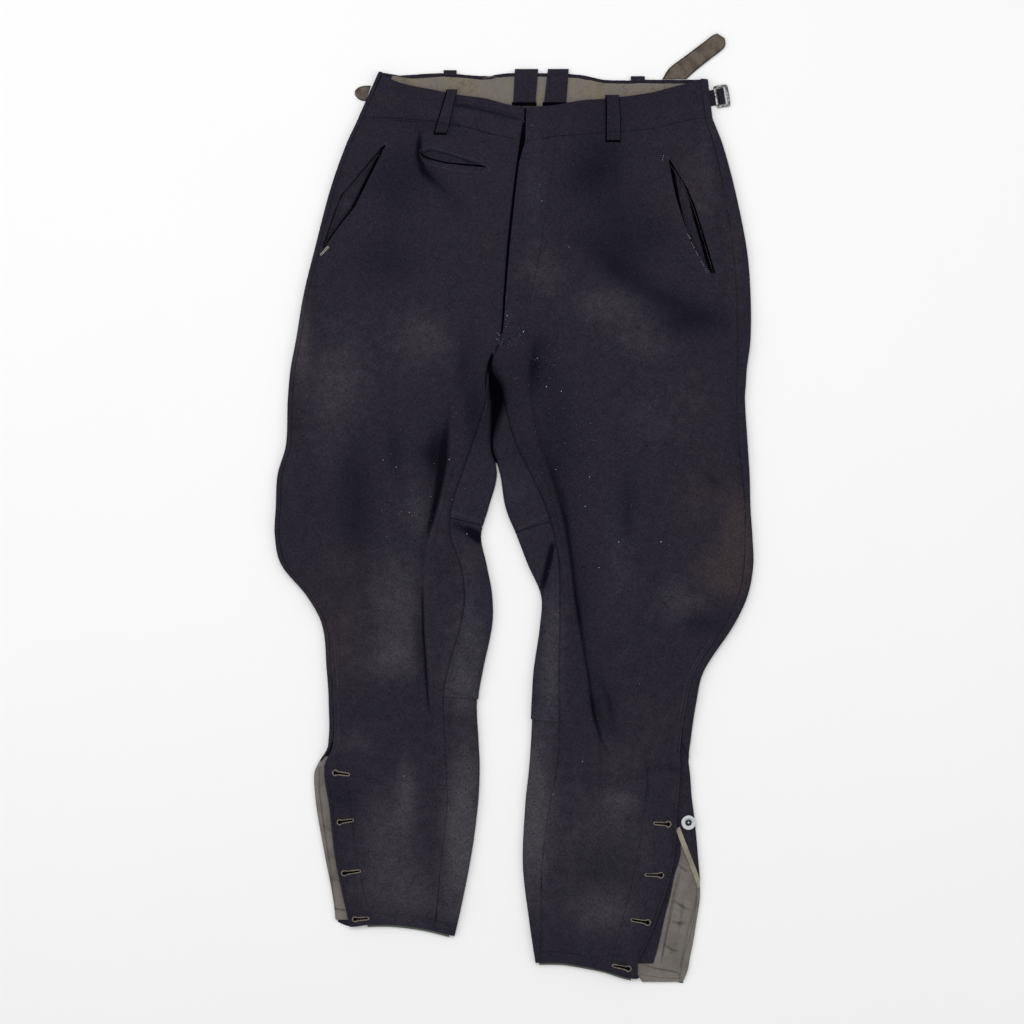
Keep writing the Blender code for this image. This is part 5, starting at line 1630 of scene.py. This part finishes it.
def fibre_tree():
    """A short bent fibre on every point, turned and scaled by chance from a fixed seed."""
    tree = new_tree("fibres", {
        "Length": "NodeSocketFloat", "Width": "NodeSocketFloat",
        "Seed": "NodeSocketInt", "Material": "NodeSocketMaterial",
    })
    given = tree.nodes.new("NodeGroupInput").outputs
    bend = add(tree, "GeometryNodeCurveArc", {}, {"Resolution": 5, "Radius": 0.35, "Sweep Angle": 2.2})
    round_it = add(tree, "GeometryNodeCurvePrimitiveCircle", {}, {"Resolution": 4, "Radius": given["Width"]})
    fibre = add(tree, "GeometryNodeCurveToMesh", {}, {
        "Curve": bend.outputs["Curve"], "Profile Curve": round_it.outputs["Curve"], "Fill Caps": True,
    })
    turn = add(tree, "FunctionNodeRandomValue", {"data_type": "FLOAT_VECTOR"}, {"Seed": given["Seed"]})
    turn.inputs["Min"].default_value = (-0.25, -0.25, 0.0)
    turn.inputs["Max"].default_value = (0.25, 0.25, 6.28)
    size = add(tree, "FunctionNodeRandomValue", {"data_type": "FLOAT"}, {"Seed": given["Seed"]})
    size.inputs[2].default_value = 0.35
    size.inputs[3].default_value = 1.5
    scaled = add(tree, "ShaderNodeMath", {"operation": "MULTIPLY"}, {0: size.outputs[1], 1: given["Length"]})
    each = add(tree, "GeometryNodeInstanceOnPoints", {}, {
        "Points": given["Geometry"], "Instance": fibre.outputs["Mesh"],
        "Rotation": turn.outputs[0], "Scale": scaled.outputs[0],
    })
    end_tree(tree, each, given["Material"])
    return tree


def thread_finish(name, colour, shade, shine=0.3):
    dye = Dye(name, colour, {"Roughness": 0.7, "Specular IOR Level": shine})
    twist = dye.noise(dye.places(), 900.0, 2.0)
    dye.feed(dye.shader.inputs["Base Color"], dye.mix(twist.between(0.35, 0.65), colour, shade))
    return dye.material


def sew(name, lines, step, length, width, height, material, sunk=0.1):
    """Stitches along lines of (across, down) that are laid on the cloth."""
    points, edges = [], []
    for line in lines:
        last = None
        for (x0, d0), (x1, d1) in zip(line, line[1:]):
            pieces = max(1, math.ceil(math.hypot(x1 - x0, d1 - d0) / 1.5))
            for k in range(pieces + (1 if (x1, d1) == line[-1] else 0)):
                hit = on_cloth(blend(x0, x1, k / pieces), blend(d0, d1, k / pieces))
                if hit is None:
                    last = None
                    continue
                points.append((hit.x, hit.y, hit.z + (height * 0.5 - sunk) * MM))
                if last is not None:
                    edges.append((last, len(points) - 1))
                last = len(points) - 1
    values = {"Step": step * MM, "Length": length * MM, "Width": width * MM, "Height": height * MM}
    obj = grow(name, points, edges, stitches, values | {"Seed": len(name)}, material)


def curve(points, count=24):
    return [tuple(point) for point in through(points, count)]


def px(points):
    """Places read off the garment on its measuring grid."""
    return [((x - GRID_MIDDLE) * GRID_SQUARE, (y - GRID_WAIST) * GRID_SQUARE) for x, y in points]


def traced(points, count):
    return curve(px(points), count)


def along_lip(mouth, lip, across, down, count=60):
    """A line beside one lip of a pocket mouth, moved off it across and down."""
    return curve([(row[lip + 1] + across, row[lip] + down) for row in mouth], count)


stitches = stitch_tree()
fibres = fibre_tree()
dark_thread = thread_finish("dark_thread", (0.0030, 0.0026, 0.0048), (0.0055, 0.0048, 0.0075), shine=0.02)
grey_thread = thread_finish("grey_thread", (0.075, 0.070, 0.080), (0.045, 0.042, 0.050))
pale_thread = thread_finish("pale_thread", (0.46, 0.42, 0.36), (0.30, 0.27, 0.22))
olive_twist = thread_finish("olive_twist", (0.270, 0.235, 0.180), (0.170, 0.142, 0.102))

seams = []
for leg in legs:
    downs = np.linspace(WAIST_SEAM + 8, leg.table[-1][0] - 4, 120)
    seams.append([(leg.side_seam(d), d) for d in downs if d < PLACKET_TOP[1]])
    seams.append([(leg.inner_seam(d), d) for d in downs if d > 330.0])
    ends = (-158, 12) if leg is right else (14, 200)
    seams.append([(x, waist(x, "seam") - 0.3) for x in np.linspace(*ends, 60)])
sew("seam_stitching", seams, 2.2, 2.0, 0.5, 0.4, dark_thread, sunk=0.2)

lines = [curve([(x, waist(x, "front_top") + 9.5) for x in (-58, -40, -20, 0, 8)], 40)]
lines.append(px([(660.5, 768), (682, 768.5)]))
lines.append(px([(624, 82), (624.5, 86), (622, 88), (627, 91), (625, 95)]))
lines += [px([(437, 82), (437.5, 90)]), px([(664, 82), (664, 91)])]
lines.append(traced([(681, 866), (678, 884), (671, 915), (663, 948), (661, 962)], 30))
lines.append(traced([(697, 880), (696, 905), (690, 935), (683, 958), (680, 976)], 30))
lines.append(px([(641, 974), (660, 977), (679, 978)]))
lines.append(traced([(390, 121.3), (426, 124), (459, 127), (480, 131)], 20))
lines.append(traced([
    (556, 141), (553, 160), (550, 187), (545, 219), (538, 262), (528, 310), (526, 324), (522, 331),
    (516, 336), (508, 341), (502, 346),
], 120))
lines += [along_lip(HIP_RIGHT, 0, 3.0, 1.6), along_lip(HIP_RIGHT, 2, -3.0, -1.6)]
lines += [along_lip(HIP_LEFT, 0, -3.0, 1.0), along_lip(HIP_LEFT, 2, 3.0, -1.0)]
light_lines = []
for leg in legs:
    for hem, offsets in ((THIGH_HEM, (5.0, 7.0)), (KNEE_HEM, (2.0, 6.5))):
        at_edge, at_seam = hem[leg.name]
        for offset in offsets:
            a = (leg.inner_seam(at_seam - offset) - leg.sign * 1.0, at_seam - offset)
            b = (leg.at(at_edge, "inner") + leg.sign * 1.0, at_edge - offset)
            light_lines.append([a, b])
    ends = (-153.0, -72.0) if leg is right else (28.0, 122.0)
    lines.append([(x, read_table(leg.hem, HEM_COLUMNS, x, "down") - 12.0) for x in np.linspace(*ends, 30)])
    downs = np.linspace(610.0, 735.0, 50)
    for aside in (1.5, 5.5):
        light_lines.append([(leg.side_seam(d) - leg.sign * aside, d) for d in downs])
    downs = np.linspace(765.0, leg.table[-1][0] - 10, 60)
    lines.append([(leg.side_seam(d) - leg.sign * 4.0, d) for d in downs])
lines.append(traced([(647, 770), (646, 790), (643, 815), (636, 860), (626, 905), (612, 955)], 60))
lines.append(traced([(345, 772), (350, 800), (356, 850), (364, 890), (372, 917)], 60))
light_lines += [along_lip(HIP_RIGHT, 0, 2.6, 2.0), along_lip(HIP_LEFT, 0, -2.2, 1.0)]
light_lines += [
    traced([(420.6, 156), (423, 161.5), (431, 166), (443.5, 169), (462, 172), (482, 173.5)], 50),
    traced([(420.4, 152), (424, 149.4), (431, 148.4), (451, 153.8), (467, 158.8), (483, 163)], 50),
]
sew("top_stitching", lines, 2.4, 1.7, 0.55, 0.4, dark_thread, sunk=0.2)
sew("grey_stitching", light_lines, 2.4, 1.8, 0.5, 0.45, grey_thread, sunk=0.15)

rings = []
for leg in legs:
    for x0, d0, x1, d1, gape in BUTTONHOLES[leg.name]:
        length = math.hypot(x1 - x0, d1 - d0)
        ax, ad = (x1 - x0) / length, (d1 - d0) / length
        eye = 2.4 + 0.3 * gape
        profile = [(-1.6, 0.0), (-1.2, 1.0), (0.0, 1.45), (0.4 * length, 1.6), (0.72 * length, 1.75)]
        profile += [(0.86 * length, eye), (0.97 * length, eye), (length + 1.0, 1.4), (length + 1.6, 0.0)]
        profile += [(along, -side) for along, side in profile[-2::-1]]
        rings.append(curve([(x0 + ax * a - ad * b, d0 + ad * a + ax * b) for a, b in profile], 70))
sew("buttonhole_twist", rings, 0.66, 0.66, 1.5, 0.7, olive_twist, sunk=0.15)

# Painted shade: black thread fills each slit and lines two pocket lips, and a black strip lies in the hollow
# of the crotch
slit_shades = []
for leg in legs:
    for x0, d0, x1, d1, gape in BUTTONHOLES[leg.name]:
        slit_shades.append([(blend(x0, x1, k / 8), blend(d0, d1, k / 8)) for k in range(9)])
        eye = (blend(x0, x1, 0.84), blend(d0, d1, 0.84))
        spread = 0.8 + 0.3 * gape
        for drop in (-spread, 0.0, spread):
            slit_shades.append([eye, (blend(x0, x1, 0.99), blend(d0, d1, 0.99) + drop)])
shade_black_thread = thread_finish("shade_black_thread", (0.0008, 0.0007, 0.0012), (0.0014, 0.0011, 0.0018), shine=0.0)
sew("buttonhole_slits", slit_shades, 0.5, 1.2, 1.9, 0.35, shade_black_thread, sunk=0.1)
lip_shades = [along_lip(HIP_RIGHT, 2, 0.1, 0.7), along_lip(WATCH, 0, 0.0, -0.5, 50)]
sew("lip_edges", lip_shades, 0.6, 1.3, 1.3, 0.35, shade_black_thread, sunk=0.1)
# Painted shadow in the crotch hollow, on the measuring grid: y, then left and right x
CROTCH_SHADOW = [
    (354, 491.4, 493.0), (360, 489.2, 491.8), (366, 487.6, 491.2), (372, 488.2, 492.4), (378, 489.6, 495.6),
    (384, 490.4, 499.0),
    (389, 490.2, 501.4), (394, 490.8, 502.8), (400, 491.4, 502.8), (406, 491.6, 501.8), (413, 491.6, 499.4),
    (421, 491.4, 496.6),
    (431, 491.2, 494.2), (442, 490.8, 492.8), (452, 491.6, 493.6), (463, 495.6, 497.6),
]
table = []
for y, x0, x1 in CROTCH_SHADOW:
    (a, down), (b, _) = px([(x0, y), (x1, y)])
    levels = [hit.z / MM for hit in (on_cloth(a - 1.0, down), on_cloth(b + 1.0, down)) if hit is not None]
    table.append((a, down, b, down, max(levels, default=8.0) + 0.3))
for index in range(1, len(table) - 1):
    table[index] = (*table[index][:4], max(row[4] for row in table[index - 1:index + 2]))
hollow = ribbon("crotch_shadow", table, 60, 0.4, shade_black_cotton, columns=8, crown=0.2)
fronts = ["wool_front_left", "wool_front_right"]
dress(hollow, None, rests_on=fronts)

tacks = [
    px([(320.8, 255.2), (328.5, 247.3)]), px([(321.6, 256.2), (329.4, 248.2)]),
    px([(326.4, 750), (318.6, 760.6)]), px([(325.6, 749.6), (318, 760)]),
]
sew("tacking", tacks, 0.7, 0.9, 1.0, 0.6, pale_thread, sunk=0.1)
bars = [
    px([(487.5, 167), (490, 173)]), px([(489.5, 168), (491.5, 173)]), px([(385.5, 144), (388, 147.5)]),
    px([(714.5, 279), (717.5, 281)]), px([(666, 158), (669, 160)]), px([(499, 345), (502, 348)]),
    px([(522.5, 120), (524, 123.5)]),
]
sew("bar_tacks", bars, 0.9, 0.7, 0.8, 0.5, grey_thread, sunk=0.1)
loose = [
    traced([(687, 235.5), (689.5, 239.5)], 4), traced([(691, 244), (693.5, 248.5)], 4),
    traced([(695.5, 252.5), (697, 256)], 4),
    traced([(700.5, 262.5), (703.5, 267.5)], 4), traced([(704.5, 269.5), (706.5, 273)], 4),
    traced([(663, 157), (662, 161)], 4),
    traced([(531.8, 127), (532.8, 127.6)], 3), traced([(497.6, 333.5), (499.2, 336)], 3),
    traced([(496.6, 339.5), (499.4, 341.2)], 3),
    traced([(484, 79), (492, 77.5), (503, 78.5), (514, 77)], 12),
]
sew("loose_ends", loose, 1.6, 1.3, 0.45, 0.45, pale_thread, sunk=0.0)

# Lint
# Pale lint clings to the wool, most of all round the end of the fly and on the thighs.

lint_finish = thread_finish("lint", (0.20, 0.195, 0.22), (0.12, 0.115, 0.14))
bright_lint = thread_finish("bright_lint", (0.72, 0.70, 0.70), (0.55, 0.53, 0.52))
LINT = [
    (-7, 262, 2, 24, 12), (-16, 290, 4, 6, 14), (5, 280, 9, 7, 9), (-2, 292, 8, 3, 8),
    (38, 310, 12, 16, 14), (24, 322, 20, 20, 12),
    (60, 400, 36, 50, 40), (-120, 440, 26, 50, 26), (-62, 430, 10, 60, 26), (-100, 480, 30, 30, 24),
    (110, 460, 60, 60, 18), (0, 180, 160, 120, 30), (0, 650, 200, 200, 40), (-30, 480, 14, 14, 10),
]
FIBRE_LENGTH = 0.8
chance = random.Random(11)
for name, share, width, material in (
    ("lint", 1.6, 0.20, lint_finish), ("bright_lint", 0.14, 0.36, bright_lint),
):
    points = []
    for x, down, wide, tall, count in LINT:
        for _ in range(round(count * share)):
            hit = on_cloth(chance.gauss(x, wide * 0.6), chance.gauss(down, tall * 0.6))
            if hit is not None and hit.z > 0.004:
                points.append((hit.x, hit.y, hit.z + 0.0001))
    values = {"Length": FIBRE_LENGTH * MM, "Width": width, "Seed": 7}
    obj = grow(name, points, [], fibres, values, material)

# The floor, the light and the camera
# A pale floor, a wide soft light overhead with weaker ones at the sides, and a camera straight above.

ground = bpy.data.meshes.new("floor")
ground.from_pydata([(-4, -4, 0), (4, -4, 0), (4, 4, 0), (-4, 4, 0)], [], [(0, 1, 2, 3)])
floor = place("floor", ground)
paint = Dye("pale_floor", (0.86, 0.86, 0.86), {"Roughness": 0.9, "Specular IOR Level": 0.1})
grit = paint.noise(paint.places(), 6.0)
paint.feed(paint.shader.inputs["Base Color"], paint.mix(grit, (0.86, 0.86, 0.86), (0.87, 0.87, 0.87)))
ground.materials.append(paint.material)

world = bpy.data.worlds.new("studio")
world.use_nodes = True
world.node_tree.nodes["Background"].inputs["Color"].default_value = (1.0, 1.0, 1.0, 1.0)
world.node_tree.nodes["Background"].inputs["Strength"].default_value = 0.62
bpy.context.scene.world = world

for name, energy, size, place_at in (
    ("overhead", 26.0, 1.6, (-0.2, 0.9, 2.4)),
    ("left_side", 9.0, 1.0, (-2.0, 0.2, 1.6)),
    ("right_side", 7.0, 1.0, (2.0, -0.2, 1.6)),
):
    lamp = bpy.data.lights.new(name, "AREA")
    lamp.energy = energy
    lamp.size = size
    light = bpy.data.objects.new(name, lamp)
    light.location = place_at
    light.rotation_euler = (Vector((0, 0, 0)) - light.location).to_track_quat("-Z", "Y").to_euler()
    bpy.context.scene.collection.objects.link(light)

lens_data = bpy.data.cameras.new("above")
lens_data.sensor_width = 36.0
lens_data.lens = 97.7
lens_data.clip_end = 20.0
camera = bpy.data.objects.new("above", lens_data)
camera.location = (-0.0022, -0.0043, 3.0)
bpy.context.scene.collection.objects.link(camera)
bpy.context.scene.camera = camera
bpy.context.scene.view_settings.view_transform = "Standard"
